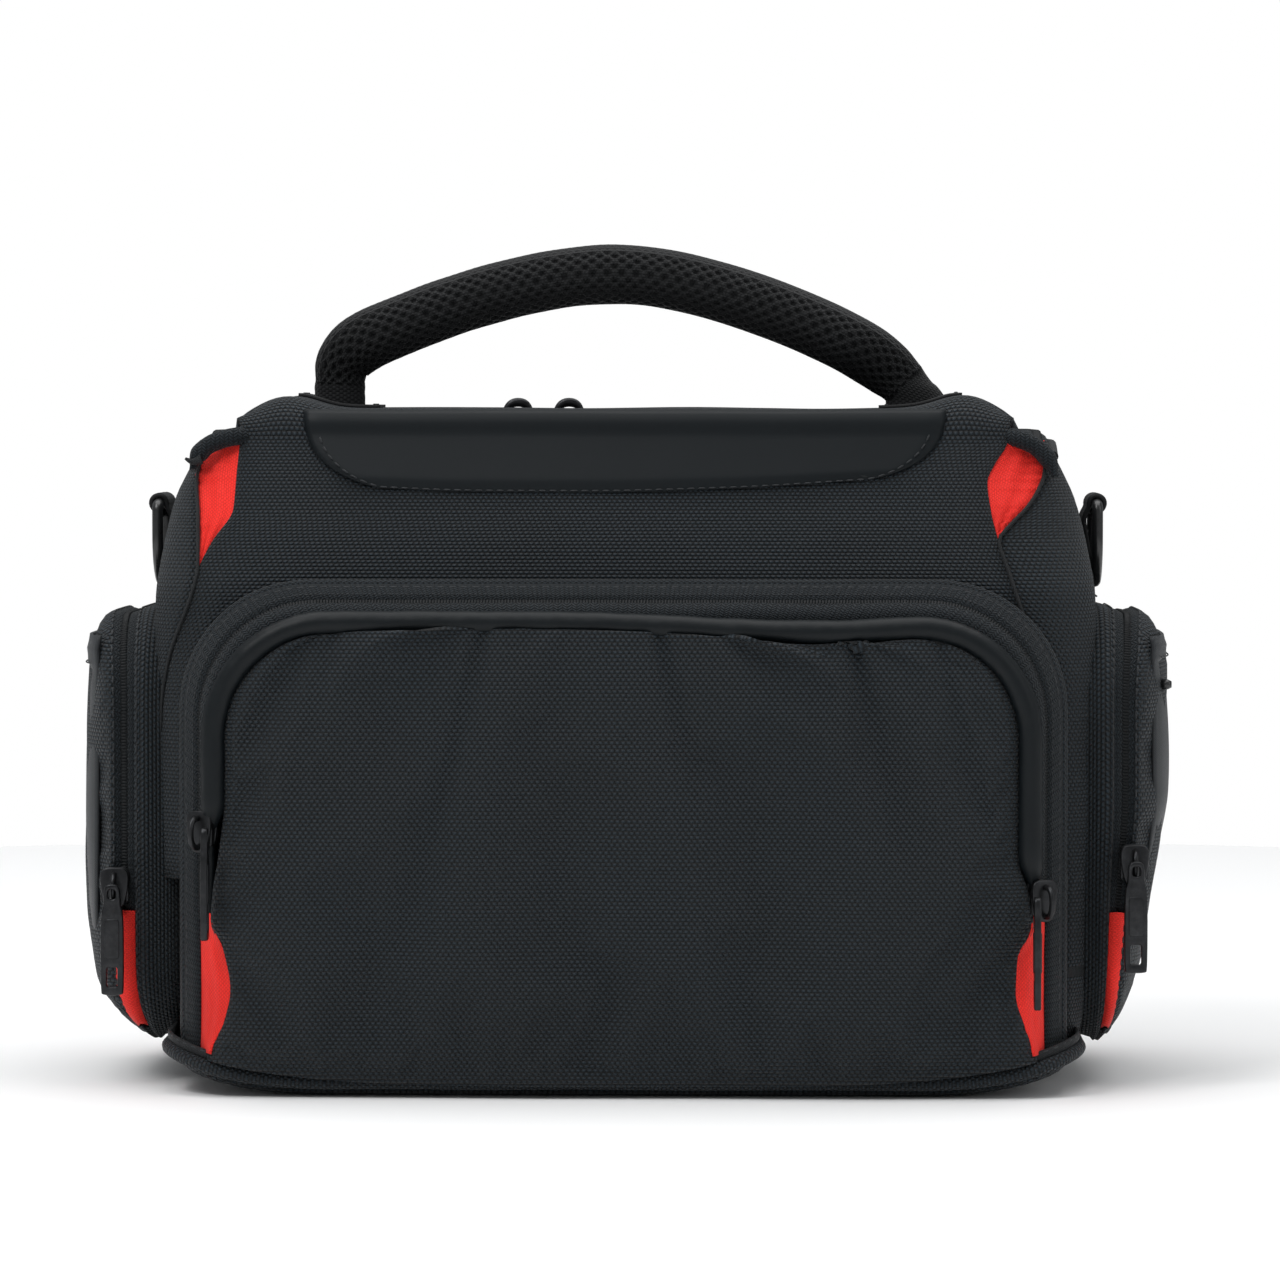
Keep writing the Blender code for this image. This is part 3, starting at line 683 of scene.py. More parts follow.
def split_plan(z, left, right, front_count, wrap_count):
    """The outline at height z as a front run between two X values and the run round sides and back."""
    outline = plan(z)
    quarter = len(outline) // 4
    start = next(i for i in range(1, quarter * 2) if outline[i].x >= right or outline[i].y > 0)
    stop = next(i for i in range(1, quarter * 2) if outline[-i].x <= left or outline[-i].y > 0)
    a, b = outline[start - 1], outline[start]
    edge_right = a.lerp(b, min(max((right - a.x) / max(b.x - a.x, 0.001), 0.0), 1.0))
    c, d = outline[-stop + 1] if stop > 1 else outline[0], outline[-stop]
    edge_left = c.lerp(d, min(max((left - c.x) / min(d.x - c.x, -0.001), 0.0), 1.0))
    front = [edge_left] + outline[len(outline) - stop + 1:] + outline[:start] + [edge_right]
    wrap = [edge_right] + outline[start:len(outline) - stop + 1] + [edge_left]
    return resample(front, front_count), resample(wrap, wrap_count)


def sag(point, amount=0.7):
    """Soft unevenness of padded cloth."""
    x, y, z = point
    return amount * (ripple(x, y, z, 46.0) + 0.45 * ripple(x + 90.0, y, z, 17.0))


def body_shell():
    """Side and back panels with their lining, open at the lid and behind the front pocket."""
    rows = []
    levels = [7.4 + (RIM_Z - 0.3 - 7.4) * step / 64 for step in range(65)]
    for z in levels:
        _, wrap = split_plan(z, between(SEAM_LEFT, z), between(SEAM_RIGHT, z), 8, 170)
        count = len(wrap)
        row = []
        for index, point in enumerate(wrap):
            before, after = wrap[max(index - 1, 0)], wrap[min(index + 1, count - 1)]
            out = Vector((after.y - before.y, before.x - after.x, 0.0)).normalized()
            soft = min(1.0, (RIM_Z - z) / 12.0, (z - 6.0) / 10.0, min(index, count - 1 - index) / 8.0)
            row.append(point + out * sag(point) * soft)
        rows.append(row)
    obj = grid("body_side_and_back", rows, "nylon", "body", "shell_nylon", keep_flat=0.0)
    thicken(obj, 6.5, inner="lining")
    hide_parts("side_wall_left", "side_wall_right", "back_wall")
    for name, index in (("body_seam_right", 0), ("body_seam_left", -1)):
        route = [row[index] + Vector((0.0, -0.3, 0.0)) for row in rows[18:-2]]
        cord_line = sweep(name, resample(route, 60), lambda place: oval(0.55, 0.7, 8), "binding", "body",
                          "shell_nylon",
                          keep_flat=0.0)
        planar_map(cord_line)
    return rows


def front_wall():
    """Padding and lining of the front wall, behind the pocket."""
    (x0, y0, z0), (x1, y1, z1) = box_mm("front_wall")
    rows = []
    for step in range(25):
        z = z0 + (z1 - 1.5 - z0) * step / 24
        row = []
        for place in range(49):
            x = x0 + (x1 - x0) * place / 48
            row.append((x,
                        y1 - 0.4 - (0.8 * math.sin(math.pi * place / 48) ** 0.5
                                    * (1 + 0.4 * ripple(x, 0, z, 30))),
                        z))
        rows.append(row)
    obj = grid("front_wall_padding", rows, "lining", "body", "lining", keep_flat=0.0)
    thicken(obj, y1 - y0 - 3.0, offset=-1.0, inner="fine_nylon")
    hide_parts("front_wall")


def lift(x):
    """How far the soft base turns up towards its left and right ends."""
    return 8.6 * (max(0.0, abs(x) - 84.0) / 46.0) ** 2.2


def base():
    """Padded base with its bound and piped edge."""
    (x0, y0, _), (x1, y1, _) = box_mm("base_panel")
    rings = []
    for inset, z in ((26.0, 0.2), (8.0, 0.0), (2.0, 0.2), (0.6, 1.2), (0.2, 3.0), (0.4, 6.0), (2.0, 7.6),
                     (8.0, 7.9),
                     (26.0, 7.7)):
        loop = rounded_loop(x0 + inset, x1 - inset, y0 + inset, y1 - inset, max(17.0 - inset, 4.0), 160)
        rings.append([(x, y, z + lift(x)) for x, y in loop])
    obj = grid("base_padding", rings, "nylon", None, None, closed=True, flip=False, keep_flat=0.0)
    fill_holes(obj)
    planar_map(obj)
    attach(obj, "body")
    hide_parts("base_panel")
    (px0, py0, pz0), (px1, py1, pz1) = box_mm("base_piping")
    radius = (pz1 - pz0) / 2
    loop = rounded_loop(px0 + radius, px1 - radius, py0 + radius, py1 - radius, 18.5, 180)
    route = [(x, y, (pz0 + pz1) / 2 - 1.2 + lift(x) + 0.25 * ripple(x, y, 3.0, 30.0)) for x, y in loop]
    edge = sweep("base_edge_piping", route, lambda place: oval(radius - 0.7, radius - 0.5, 14), "nylon",
                 "body", "piping",
                 closed=True, up=(0.0, 0.0, 1.0), keep_flat=0.0)
    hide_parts("base_piping")
    band = [(x * 0.9965, y * 0.994, 7.6 + lift(x)) for x, y in loop]
    flange = sweep("base_edge_flange", band, lambda place: oval(0.6, 1.4, 10), "binding", "body",
                   "shell_nylon",
                   closed=True, up=(0.0, 0.0, 1.0), keep_flat=0.0)
    planar_map(flange)
    thread = [(x * 0.9985, y * 0.997, 8.4 + lift(x)) for x, y in loop]
    stitches("base_edge_stitches", thread, "body", lambda p: (p.x / 131.0, p.y / 72.0, 0.2), closed=True)


# ---- Lid ---------------------------------------------------------------------------------------
LID_TOP_BACK = 62.0
LID_EDGE_Z = 187.2


def lid_height(x, y):
    """Height of the lid's top face."""
    aside = abs(x)
    crown = 193.6 + 0.7 * math.sin(math.pi * (y + 36.0) / 98.0)
    shoulder = 3.6 * math.exp(-((aside - 97.0) / 9.5) ** 2)
    front_rise = 0.4 * math.exp(-((y + 30.0) / 12.0) ** 2)
    return crown + shoulder + front_rise + 0.5 * ripple(x, y, 0.0, 40.0)


def lid_cloth():
    """One nylon panel from behind the front pocket, up the lid's front and over its top."""
    rows = []
    for z in [60.0 + 6.0 * step for step in range(13)] + [136.0 + 1.6 * step for step in range(32)]:
        left = between(LID_EDGE_LEFT, z) if z > 142 else between(SEAM_LEFT, z)
        right = between(LID_EDGE_RIGHT, z) if z > 138 else between(SEAM_RIGHT, z)
        front, _ = split_plan(z, left, right, 110, 8)
        row = []
        for index, point in enumerate(front):
            soft = ease((z - 140.0) / 12.0) * min(1.0, min(index, 109 - index) / 6.0)
            hug = 1.0 if min(index, 109 - index) > 3 else 0.0
            bulge = 1.1 * math.sin(math.pi * index / 109) * ease((z - 140) / 20.0)
            row.append(point + Vector((0.0, -0.35 * hug - bulge - sag(point, 0.5) * soft, 0.0)))
        rows.append(row)
    crest = rows[-1]
    turn_steps = 7
    top_steps = 44
    for step in range(1, turn_steps + top_steps + 1):
        row = []
        for index in range(110):
            f = -1.0 + 2.0 * index / 109
            if step <= turn_steps:
                t = step / turn_steps
                y = crest[index].y + 9.0 * (1 - math.cos(t * math.pi / 2))
                half = 110.0 + 3.0 * t
                x = crest[index].x * (1 - t) + f * half * t
                top = lid_height(x, y)
                rise = top - crest[index].z
                z = crest[index].z + rise * math.sin(t * math.pi / 2)
            else:
                t = (step - turn_steps) / top_steps
                y_start = crest[index].y + 9.0
                y = y_start + (LID_TOP_BACK - y_start) * t
                half = 113.0 + 2.0 * math.sin(math.pi * t)
                x = f * half
                z = lid_height(x, y)
            aside = max(0.0, 1.0 - (half - abs(x)) / 13.0) if step > turn_steps else 0.0
            if step <= turn_steps:
                aside = max(0.0, 1.0 - (110.0 - abs(x)) / 13.0) * t
            backwards = max(0.0, 1.0 - (LID_TOP_BACK - y) / 9.0)
            fall = 1.0 - math.sqrt(max(0.0, 1.0 - min(1.0, math.hypot(aside, backwards)) ** 2.4))
            z -= (z - LID_EDGE_Z) * fall
            row.append(Vector((x, y, z)))
        rows.append(row)
    obj = grid("lid_nylon_panel", rows, "nylon", None, None, keep_flat=0.0)
    thicken(obj, 1.6, inner="lining")
    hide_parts("lid_front", "lid_top")
    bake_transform(obj)
    return rows


def lid_padding():
    """Lining and foam under the lid, front and top in one tray."""
    rows = []
    for step in range(13):
        z = 150.0 + 36.0 * step / 12
        y = between(BODY_FRONT, z) + 7.5
        rows.append([(f * 98.0, y + 0.5 * ripple(f * 98, y, z, 25), z) for f in np.linspace(-1, 1, 45)])
    for step in range(1, 27):
        y = -30.0 + 87.0 * step / 26
        z = 187.0 + 1.2 * math.sin(math.pi * step / 26)
        rows.append([(f * (98.0 + 8.0 * ease(step / 8)), y,
                      z + 0.5 * ripple(f * 98, y, z, 25) - 2.0 * abs(f) ** 10)
                     for f in np.linspace(-1, 1, 45)])
    obj = grid("lid_lining", rows, "lining", "lid", "lining", keep_flat=0.0, flip=True)
    thicken(obj, 3.5, offset=-1.0)


TRIM_HALF = box_mm("lid_trim_panel")[1][0]


def trim_panel():
    """Smooth panel on the lid's front, cut in a shallow smile and sewn along its edge."""
    def on_lid(x, z):
        return between(BODY_FRONT, z) - 1.1 * math.cos(math.pi * min(abs(x),
                                                                     110) / 220) * ease((z - 140) / 20.0)

    def outline(height):
        """Half width of the panel, a fraction of its full one, at a height from 0 to 1."""
        return 0.745 + 0.255 * (1 - (1 - min(height, 1.0)) ** 2.6) ** 0.62

    rows = []
    base_z = 170.2
    for step in range(25):
        t = (step / 24) ** 1.5
        row = []
        for place in range(97):
            f = -1.0 + 2.0 * place / 96
            x = TRIM_HALF * f * outline(t)
            smile = 2.4 * f ** 2 + 1.2 * f
            z = base_z + smile * (1 - t) + (194.4 - base_z) * t
            over = max(0.0, z - 189.0)
            y = on_lid(x, z) - 1.7 + over ** 2 * 0.08
            edge = min(1.0, t * 7.0, (1.0 - abs(f)) * 30.0)
            row.append((x, y + 0.9 * (1 - edge), z - 0.10 * over + 0.25 * ripple(x, 0, z, 34)))
        rows.append(row)
    obj = grid("lid_trim", rows, "trim", "lid", "trim_panel", keep_flat=0.0)
    thicken(obj, 1.3)
    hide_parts("lid_trim_panel")
    inner = [Vector(row[2]) for row in rows[18:1:-1]]
    inner += [Vector(point) for point in rows[2][3:-3]]
    inner += [Vector(row[-3]) for row in rows[2:19]]
    seam = resample([point + Vector((0.0, -0.3, 0.0)) for point in inner], 170)
    stitches("lid_trim_stitches", seam, "lid", (0.0, -0.94, 0.34), pitch=3.0, length=2.1, thick=0.24,
             slot_name="trim_panel")


def lid_gussets(shell):
    """Red cloth folded between the body's edge and the lid's edge, under each end of the zipper."""
    spans = {"left": (147.6, 185.0, -1, LID_EDGE_LEFT), "right": (156.4, 185.0, 0, LID_EDGE_RIGHT)}
    for side, sign in SIDES:
        low, high, end, inner_keys = spans[side]
        rows = []
        for step in range(31):
            z = low + (high - low) * step / 30
            edge = min((row[end] for row in shell), key=lambda point: abs(point.z - z))
            inner_x = between(inner_keys, z) - sign * 1.0
            inner_y = between(BODY_FRONT, z) + 0.9 + max(0.0, abs(inner_x) - 108.0) ** 2 * 0.012
            row = []
            for place in range(21):
                t = place / 20
                bow = 1.5 * math.sin(math.pi * t) * ease(step / 14)
                pleat = 0.35 * math.sin(t * math.pi * 5 + step * 0.12) * math.sin(math.pi * t)
                x = edge.x + sign * 0.4 + (inner_x - edge.x - sign * 0.4) * t
                y = edge.y + 1.3 + (inner_y - edge.y - 1.3) * t
                row.append((x, y - bow * 0.4 + pleat, z))
            rows.append(row)
        obj = grid("lid_gusset_cloth_" + side, rows, "red", None, None, keep_flat=0.0, flip=sign > 0)
        thicken(obj, 0.8, offset=0.0)
        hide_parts("lid_gusset_" + side)
        say_sheet(rows)
        edge = abs(between(SEAM_LEFT if sign < 0 else SEAM_RIGHT, 170.0)) * MM
        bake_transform(obj)


# ---- Zippers -----------------------------------------------------------------------------------
def lid_zip_ends():
    """The folded ends of the lid zipper's tape, arching over the red cloth from body to lid."""
    arches = {"left": ((-123.6, 176.6), (-122.8, 180.2), (-119.6, 183.6), (-115.0, 185.4), (-111.0, 186.2),
                       (-106.0, 186.4)),
              "right": ((123.0, 174.6), (121.8, 178.8), (118.4, 182.8), (113.4, 185.4), (108.5, 186.4),
                        (103.5, 186.6))}
    for side, sign in SIDES:
        bent = []
        for x, z in arches[side]:
            behind = max(0.0, abs(x) - 112.0) * 0.24 + 7.0 * ease((111.5 - abs(x)) / 5.0)
            bent.append((x, between(BODY_FRONT, z) - 0.9 + behind, z))
        route = resample(smooth_route(bent, 3), 60)

        def section(place):
            size = 2.6 * (0.40 + 0.60 * ease(place / 0.22)) * (1 + 0.08 * ripple(place * 30, sign * 9, 0, 5))
            size *= 0.75 + 0.25 * ease((1 - place) / 0.3)
            return oval(size, size, 16)

        obj = sweep("lid_zip_end_" + side, route, section, "tape", None, None, up=(0.0, 0.4, 1.0),
                    keep_flat=0.0)
        planar_map(obj)
        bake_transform(obj)
    tab = [(-121.0, -41.6, 179.6), (-123.4, -41.8, 178.6), (-125.6, -41.6, 179.8)]
    spur = sweep("lid_zip_tag", resample(smooth_route(tab, 2), 14),
                 lambda place: oval(1.5 - 1.1 * place, 0.7, 10),
                 "binding", "body", "zipper_tape", keep_flat=0.0)
    planar_map(spur)


def tape_strip(name, inner_route, outer_route, body, slot_name="zipper_tape", steps=8, lift=0.0):
    """A strip of zipper tape between two routes of equal length."""
    rows = []
    for step in range(steps + 1):
        t = step / steps
        row = []
        for a, b in zip(inner_route, outer_route):
            point = Vector(a).lerp(Vector(b), t)
            row.append(point + Vector((0, 0, lift * math.sin(math.pi * t))))
        rows.append(row)
    obj = grid(name, rows, "tape", body, slot_name, keep_flat=0.0)
    return thicken(obj, 0.9, offset=0.0)


def coil_teeth(name, route, body, out, phase=0.0, pitch=1.9, wide=2.6, high=1.5, aside=0.0):
    """One half of a zipper's coil: rounded teeth that reach over the middle line."""
    total = sum((Vector(b) - Vector(a)).length for a, b in zip(route, route[1:]))
    count = int(total / pitch)
    places = resample(route, count * 4 + 1)
    vertices, faces = [], []
    for index in range(count):
        at = 4 * index + 1 + int(2 * phase)
        middle = places[at]
        along = (places[at + 1] - places[at - 1]).normalized()
        normal = Vector(out(middle) if callable(out) else out).normalized()
        side = along.cross(normal).normalized()
        middle = middle + side * aside
        start = len(vertices)
        for reach, size in ((-0.5, 0.55), (-0.28, 1.0), (0.28, 1.0), (0.5, 0.55)):
            centre = middle + side * (wide * reach)
            for turn in range(6):
                angle = math.pi * turn / 3 + math.pi / 6
                vertices.append(centre + along * (math.cos(angle) * 0.30 * pitch * size)
                                + normal * (math.sin(angle) * 0.5 * high * size))
        for ring in range(3):
            for turn in range(6):
                after = (turn + 1) % 6
                faces.append((start + ring * 6 + turn, start + ring * 6 + after,
                              start + ring * 6 + 6 + after, start + ring * 6 + 6 + turn))
        faces.append(tuple(start + turn for turn in range(6))[::-1])
        faces.append(tuple(start + 18 + turn for turn in range(6)))
    obj = piece(name, vertices, faces, "coil", None, None, keep_flat=0.0)
    work = bmesh.new()
    work.from_mesh(obj.data)
    bmesh.ops.recalc_face_normals(work, faces=work.faces)
    work.to_mesh(obj.data)
    work.free()
    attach(obj, body)
    return obj



# ---- Front pocket ------------------------------------------------------------------------------
BAND_COUNT = 220
ZIP_BOTTOM = box_mm("front_zip_body")[0][2]
FLAP_HIGH = box_mm("front_flap_panel")[1]
PIPING_LOW, PIPING_HIGH = box_mm("front_flap_piping")
PIPING_RADIUS = (PIPING_HIGH[1] - PIPING_LOW[1]) / 2
SLIDER_HEIGHT = {side: sum(box_mm("front_slider_" + side)[index][2] for index in (0, 1)) / 2 for side,
                 _ in SIDES}


def arch_ring(half, top, radius, y, bottom=8.6, count=BAND_COUNT):
    return [Vector((x, y, z)) for x, z in arch_route(half, bottom, top, radius, count)]


def arch_strip(name, rings, finish, body, slot_name, thickness, bottom, inner=None):
    """Cloth between arched rings given as (half width, top, corner radius, y)."""
    rows = []
    for half, top, radius, y in rings:
        row = arch_ring(half, top, radius, y, bottom)
        rows.append([point + Vector((0.0, 0.0, 0.25 * ripple(point.x, y, point.z, 22.0))) for point in row])
    obj = grid(name, rows, finish, body, slot_name, keep_flat=0.0, flip=True)
    return thicken(obj, thickness, offset=0.0, inner=inner)


FLAP_EDGE = {
    -1: ((8, 117.6), (14, 116.2), (21, 112.6), (31, 110.6), (42, 112.6), (50, 115.6), (58, 115.0),
         (68, 113.4), (80, 111.8)),
    1: ((8, 117.6), (14, 116.4), (20, 114.2), (30, 111.4), (40, 111.8), (49, 115.8), (56, 115.0),
        (66, 111.6)),
}


def flap_half(sign, z):
    """Half width of the front flap at height z: an arch, cut away beside the red gussets."""
    top, radius = FLAP_HIGH[2] + 0.8, 29.6
    half = between(FLAP_EDGE[sign], z)
    if z > top - radius:
        return half - radius + math.sqrt(max(0.0, radius ** 2 - (z - top + radius) ** 2))
    return half


def flap_low(x):
    """The flap's lower edge hangs over the base's edge in the middle and rises at its corners."""
    return 3.6 + 7.0 * (min(abs(x), 118.0) / 118.0) ** 4


def press(obj, pinned, frames=18, pressure=1.2, slack=0.012, most=4.0, stiff=8.0):
    """Blows a pinned cloth surface up a little and lets its spare length fall into soft waves."""
    group = obj.vertex_groups.new(name="pinned")
    for index, weight in pinned:
        group.add([index], weight, "REPLACE")
    start = np.array([tuple(vertex.co) for vertex in obj.data.vertices])
    cloth = modify(obj, "CLOTH")
    settings = cloth.settings
    settings.vertex_group_mass = group.name
    settings.quality = 5
    settings.mass = 0.25
    settings.tension_stiffness = settings.compression_stiffness = stiff
    settings.bending_stiffness = 4.0
    settings.shrink_min = -slack
    settings.use_pressure = True
    settings.uniform_pressure_force = pressure
    settings.effector_weights.gravity = 0.0
    cloth.collision_settings.use_collision = False
    scene = bpy.context.scene
    cloth.point_cache.frame_end = frames
    for moment in range(1, frames + 1):
        scene.frame_set(moment)
    view = bpy.context.evaluated_depsgraph_get()
    pressed = obj.evaluated_get(view).to_mesh()
    final = np.array([tuple(vertex.co) for vertex in pressed.vertices])
    obj.evaluated_get(view).to_mesh_clear()
    obj.modifiers.clear()
    scene.frame_set(1)
    moved = final - start
    length = np.linalg.norm(moved, axis=1, keepdims=True)
    most_m = most * MM
    moved *= np.where(length > most_m, most_m / np.maximum(length, 1e-9), 1.0)
    obj.data.vertices.foreach_set("co", (start + moved).astype(np.float32).ravel())
    obj.data.update()
    obj.vertex_groups.clear()


def front_flap():
    """The padded front flap: nylon outside, sewn down along its edge, lining inside."""
    high_z = FLAP_HIGH[2] + 0.8
    levels = [1 - (1 - step / 80) ** 1.25 for step in range(81)]
    columns = 131
    gathers = ((-38.0, 2.0), (10.0, 2.6), (64.0, 2.4), (88.0, 1.3), (-80.0, 0.9))
    rows, pinned = [], []
    for row_index, level in enumerate(levels):
        row = []
        for place in range(columns):
            f = -1.0 + 2.0 * place / (columns - 1)
            f = math.copysign(abs(f) ** 0.92, f)
            side = -1 if f < 0 else 1
            x = f * flap_half(side, 8.0 + (high_z - 8.0) * level)
            z = flap_low(x) + (high_z - flap_low(x)) * level
            half = flap_half(side, z)
            x = f * half
            z -= 2.6 * math.exp(-((x - 52.0) / 42.0) ** 2) * level ** 6
            to_side = half - abs(x)
            to_top = (high_z - z) * 1.2
            edge = min(to_side, to_top + 0.25 * to_side)
            rise = 1 - math.exp(-max(edge, 0.0) / 3.4)
            bulge = (2.2 * (1 - (abs(x) / 118.0) ** 3)
                     * math.sin(math.pi * min(max((z - 2) / 134.0, 0), 1)) ** 0.8)
            tuck = 1.6 * (1 - ease((z - flap_low(x)) / 9.0))
            y = -73.6 - 3.4 * rise - bulge + tuck
            for centre, depth in gathers:
                reach = math.exp(-max(high_z - z, 0.0) / 20.0)
                lean = centre + (high_z - z) * 0.25 * (1 if centre > 0 else -1)
                y += depth * reach * math.exp(-((x - lean) / 2.4) ** 2) * ease(edge / 3.0)
            y += 1.1 * ripple(x, 0.0, z, 46.0) * ease(edge / 10.0)
            row.append((x, y, z))
            if edge < 1.6 or level < 0.02:
                pinned.append((row_index * columns + place, 1.0))
        rows.append(row)
    obj = grid("front_flap_nylon", rows, "nylon", None, None, keep_flat=0.0)
    press(obj, pinned, pressure=0.9, slack=0.014, most=3.2)
    planar_map(obj)
    thicken(obj, 1.5)
    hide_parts("front_flap_panel")
    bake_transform(obj)
    rows = []
    for step in range(28):
        z = 19.0 + (high_z - 28.0) * step / 27
        half = min(flap_half(-1, z), flap_half(1, z), 110.0) - 5.0
        rows.append([(f * half, FLAP_HIGH[1] + 1.3 + 0.4 * ripple(f * half, 3, z, 24), z)
                     for f in np.linspace(-1, 1, 61)])
    lining = grid("front_flap_lining", rows, "lining", "front_flap", "lining", keep_flat=0.0, flip=True)
    thicken(lining, 2.0)


def front_piping():
    """Thick piping round the flap, gathered where the cloth bunches, tucked in at its lower ends."""
    centre = FLAP_HIGH[0] + 0.3 + PIPING_RADIUS
    top = PIPING_HIGH[2] - PIPING_RADIUS
    middle_y = (PIPING_LOW[1] + PIPING_HIGH[1]) / 2
    route = []
    stops = {-1: SLIDER_HEIGHT["left"] - 2.0, 1: SLIDER_HEIGHT["right"] + 2.0}
    for x, z in arch_route(centre + 0.3, ZIP_BOTTOM + 1.0, top, 32.5, 300):
        side = -1 if x < 0 else 1
        tuck = ease(1 - (z - stops[side]) / 12.0) if abs(x) > 100 else 0.0
        droop = 2.6 * math.exp(-((x - 52.0) / 42.0) ** 2) if z > 110 else 0.0
        route.append(Vector((x + side * 1.2 * tuck, middle_y - 0.6 + 2.6 * tuck, z - droop)))
    count = len(route)

    def section(place):
        point = route[min(int(place * (count - 1)), count - 1)]
        side = -1 if point.x < 0 else 1
        swell = 1.0 + 0.05 * ripple(point.x, 0, point.z, 9.0) + 0.03 * ripple(point.x, 5, point.z, 3.2)
        thin = ease(1 - (point.z - stops[side]) / 10.0) if abs(point.x) > 100 else 0.0
        size = (PIPING_RADIUS + 0.15) * swell * (1.0 - 0.55 * thin)
        return oval(size, size * 1.02, 18)

    obj = sweep("front_piping", route, section, "piping", "front_flap", "piping", keep_flat=0.0)
    planar_map(obj)
    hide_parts("front_flap_piping")


def front_pocket():
    outer = ((120.6, 142.2, 34.0, -54.2), (124.3, 144.3, 35.5, -55.4), (125.3, 145.0, 36.2, -57.2),
             (124.2, 144.2, 35.6, -59.6))
    band = arch_strip("front_pocket_gusset", outer, "nylon", "body", "shell_nylon", 1.4, 8.8, inner="lining")
    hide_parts("front_pocket_band")
    inside = ((120.4, 140.6, 33.4, -59.8), (118.6, 138.8, 32.0, -56.6), (118.2, 138.4, 31.6, -54.9))
    arch_strip("front_pocket_lining", inside, "lining", "body", "lining", 0.8, 8.8)
    body_tape = ((124.4, 144.4, 35.6, -59.2), (123.4, 143.6, 35.2, -61.4), (121.4, 141.8, 34.2, -64.2),
                 (119.2, 139.6, 32.8, -66.2))
    tape = arch_strip("front_zip_tape_body", body_tape, "tape", "body", "zipper_tape", 0.8, 11.0)
    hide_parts("front_zip_body")
    flap_tape = ((119.0, 139.2, 32.6, -67.0), (117.4, 137.2, 31.4, -68.4), (115.0, 134.6, 30.0, -70.6))
    tape = arch_strip("front_zip_tape_flap", flap_tape, "tape", "front_flap", "zipper_tape", 0.8, ZIP_BOTTOM)
    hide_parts("front_zip_flap")
    line = arch_ring(119.0, 139.4, 32.7, -66.7, ZIP_BOTTOM, 400)
    out = lambda p: (p.x / 119.0 * (0.7 if abs(p.x) > 86 else 0.0), -0.75,
                     max(0.0, (p.z - 105.0) / 34.0) * 0.7)
    coil_teeth("front_zip_coil_body", line, "body", out, phase=0.0, pitch=1.7, wide=2.2, high=1.0)
    coil_teeth("front_zip_coil_flap", line, "front_flap", out, phase=1.0, pitch=1.7, wide=2.2, high=1.0)
    seam = arch_ring(123.4, 143.6, 35.2, -61.9, ZIP_BOTTOM - 30, 300)
    stitches("front_tape_stitches", seam, "body", out, pitch=3.3)
    seam = arch_ring(124.7, 145.0, 36.0, -58.0, ZIP_BOTTOM - 30, 300)
    stitches("front_gusset_stitches", seam, "body", out, pitch=3.6)
    dots = arch_ring(121.3, 141.7, 34.2, -64.9, ZIP_BOTTOM, 300)
    stitches("front_tape_weave_line", dots, "body", out, pitch=1.5, length=0.8, thick=0.22,
             slot_name="zipper_tape")
    front_flap()
    front_piping()
    for side, sign in SIDES:
        rows = []
        for step in range(29):
            z = 12.4 + (ZIP_BOTTOM + 2.0 - 12.4) * step / 28
            bulge = math.sin(math.pi * step / 28)
            outer_x, inner_x = 119.4, flap_half(sign, z) - 0.8
            row = []
            for place in range(19):
                t = place / 18
                fold = 1.7 * math.sin(math.pi * t) * bulge
                crease = 0.25 * math.sin(t * 14 + z * 0.15) * math.sin(math.pi * t)
                row.append((sign * (outer_x + (inner_x - outer_x) * t),
                            -64.8 - 9.2 * t - fold - crease, z))
            rows.append(row)
        obj = grid("front_gusset_cloth_" + side, rows, "red", None, None, keep_flat=0.0, flip=sign > 0)
        thicken(obj, 0.8, offset=0.0)
        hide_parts("front_gusset_" + side)
        say_sheet(rows)
        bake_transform(obj)


# ---- Sliders, pull tabs and rings --------------------------------------------------------------
def flat_shape(name, outlines, thickness, finish, bevel=0.35):
    """A stamped metal shape from closed outlines, with softened edges, in its own plane."""
    curve = bpy.data.curves.new(name, "CURVE")
    curve.dimensions = "2D"
    curve.fill_mode = "BOTH"
    curve.extrude = (thickness / 2 - bevel) * MM
    curve.bevel_depth = bevel * MM
    curve.offset = -bevel * MM
    curve.bevel_resolution = 2
    for outline in outlines:
        spline = curve.splines.new("POLY")
        spline.points.add(len(outline) - 1)
        for target, (x, y) in zip(spline.points, outline):
            target.co = (x * MM, y * MM, 0.0, 1.0)
        spline.use_cyclic_u = True
    holder = bpy.data.objects.new(name, curve)
    bpy.context.scene.collection.objects.link(holder)
    bpy.context.view_layer.update()
    mesh = bpy.data.meshes.new_from_object(holder.evaluated_get(bpy.context.evaluated_depsgraph_get()))
    bpy.data.objects.remove(holder, do_unlink=True)
    bpy.data.curves.remove(curve)
    work = bmesh.new()
    work.from_mesh(mesh)
    bmesh.ops.remove_doubles(work, verts=work.verts, dist=0.000002)
    work.to_mesh(mesh)
    work.free()
    mesh.materials.clear()
    mesh.materials.append(FINISHES[finish])
    mesh.shade_smooth()
    mesh.set_sharp_from_angle(angle=math.radians(50))
    return mesh


def join_meshes(name, parts, finish, body):
    """One piece from meshes and the matrices that place them, in metres."""
    work = bmesh.new()
    for mesh, place in parts:
        copy = mesh.copy()
        copy.transform(place)
        work.from_mesh(copy)
        bpy.data.meshes.remove(copy)
    made = bpy.data.meshes.new(name)
    work.to_mesh(made)
    work.free()
    made.materials.append(FINISHES[finish])
    obj = bpy.data.objects.new(name, made)
    bpy.context.scene.collection.objects.link(obj)
    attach(obj, body)
    return obj


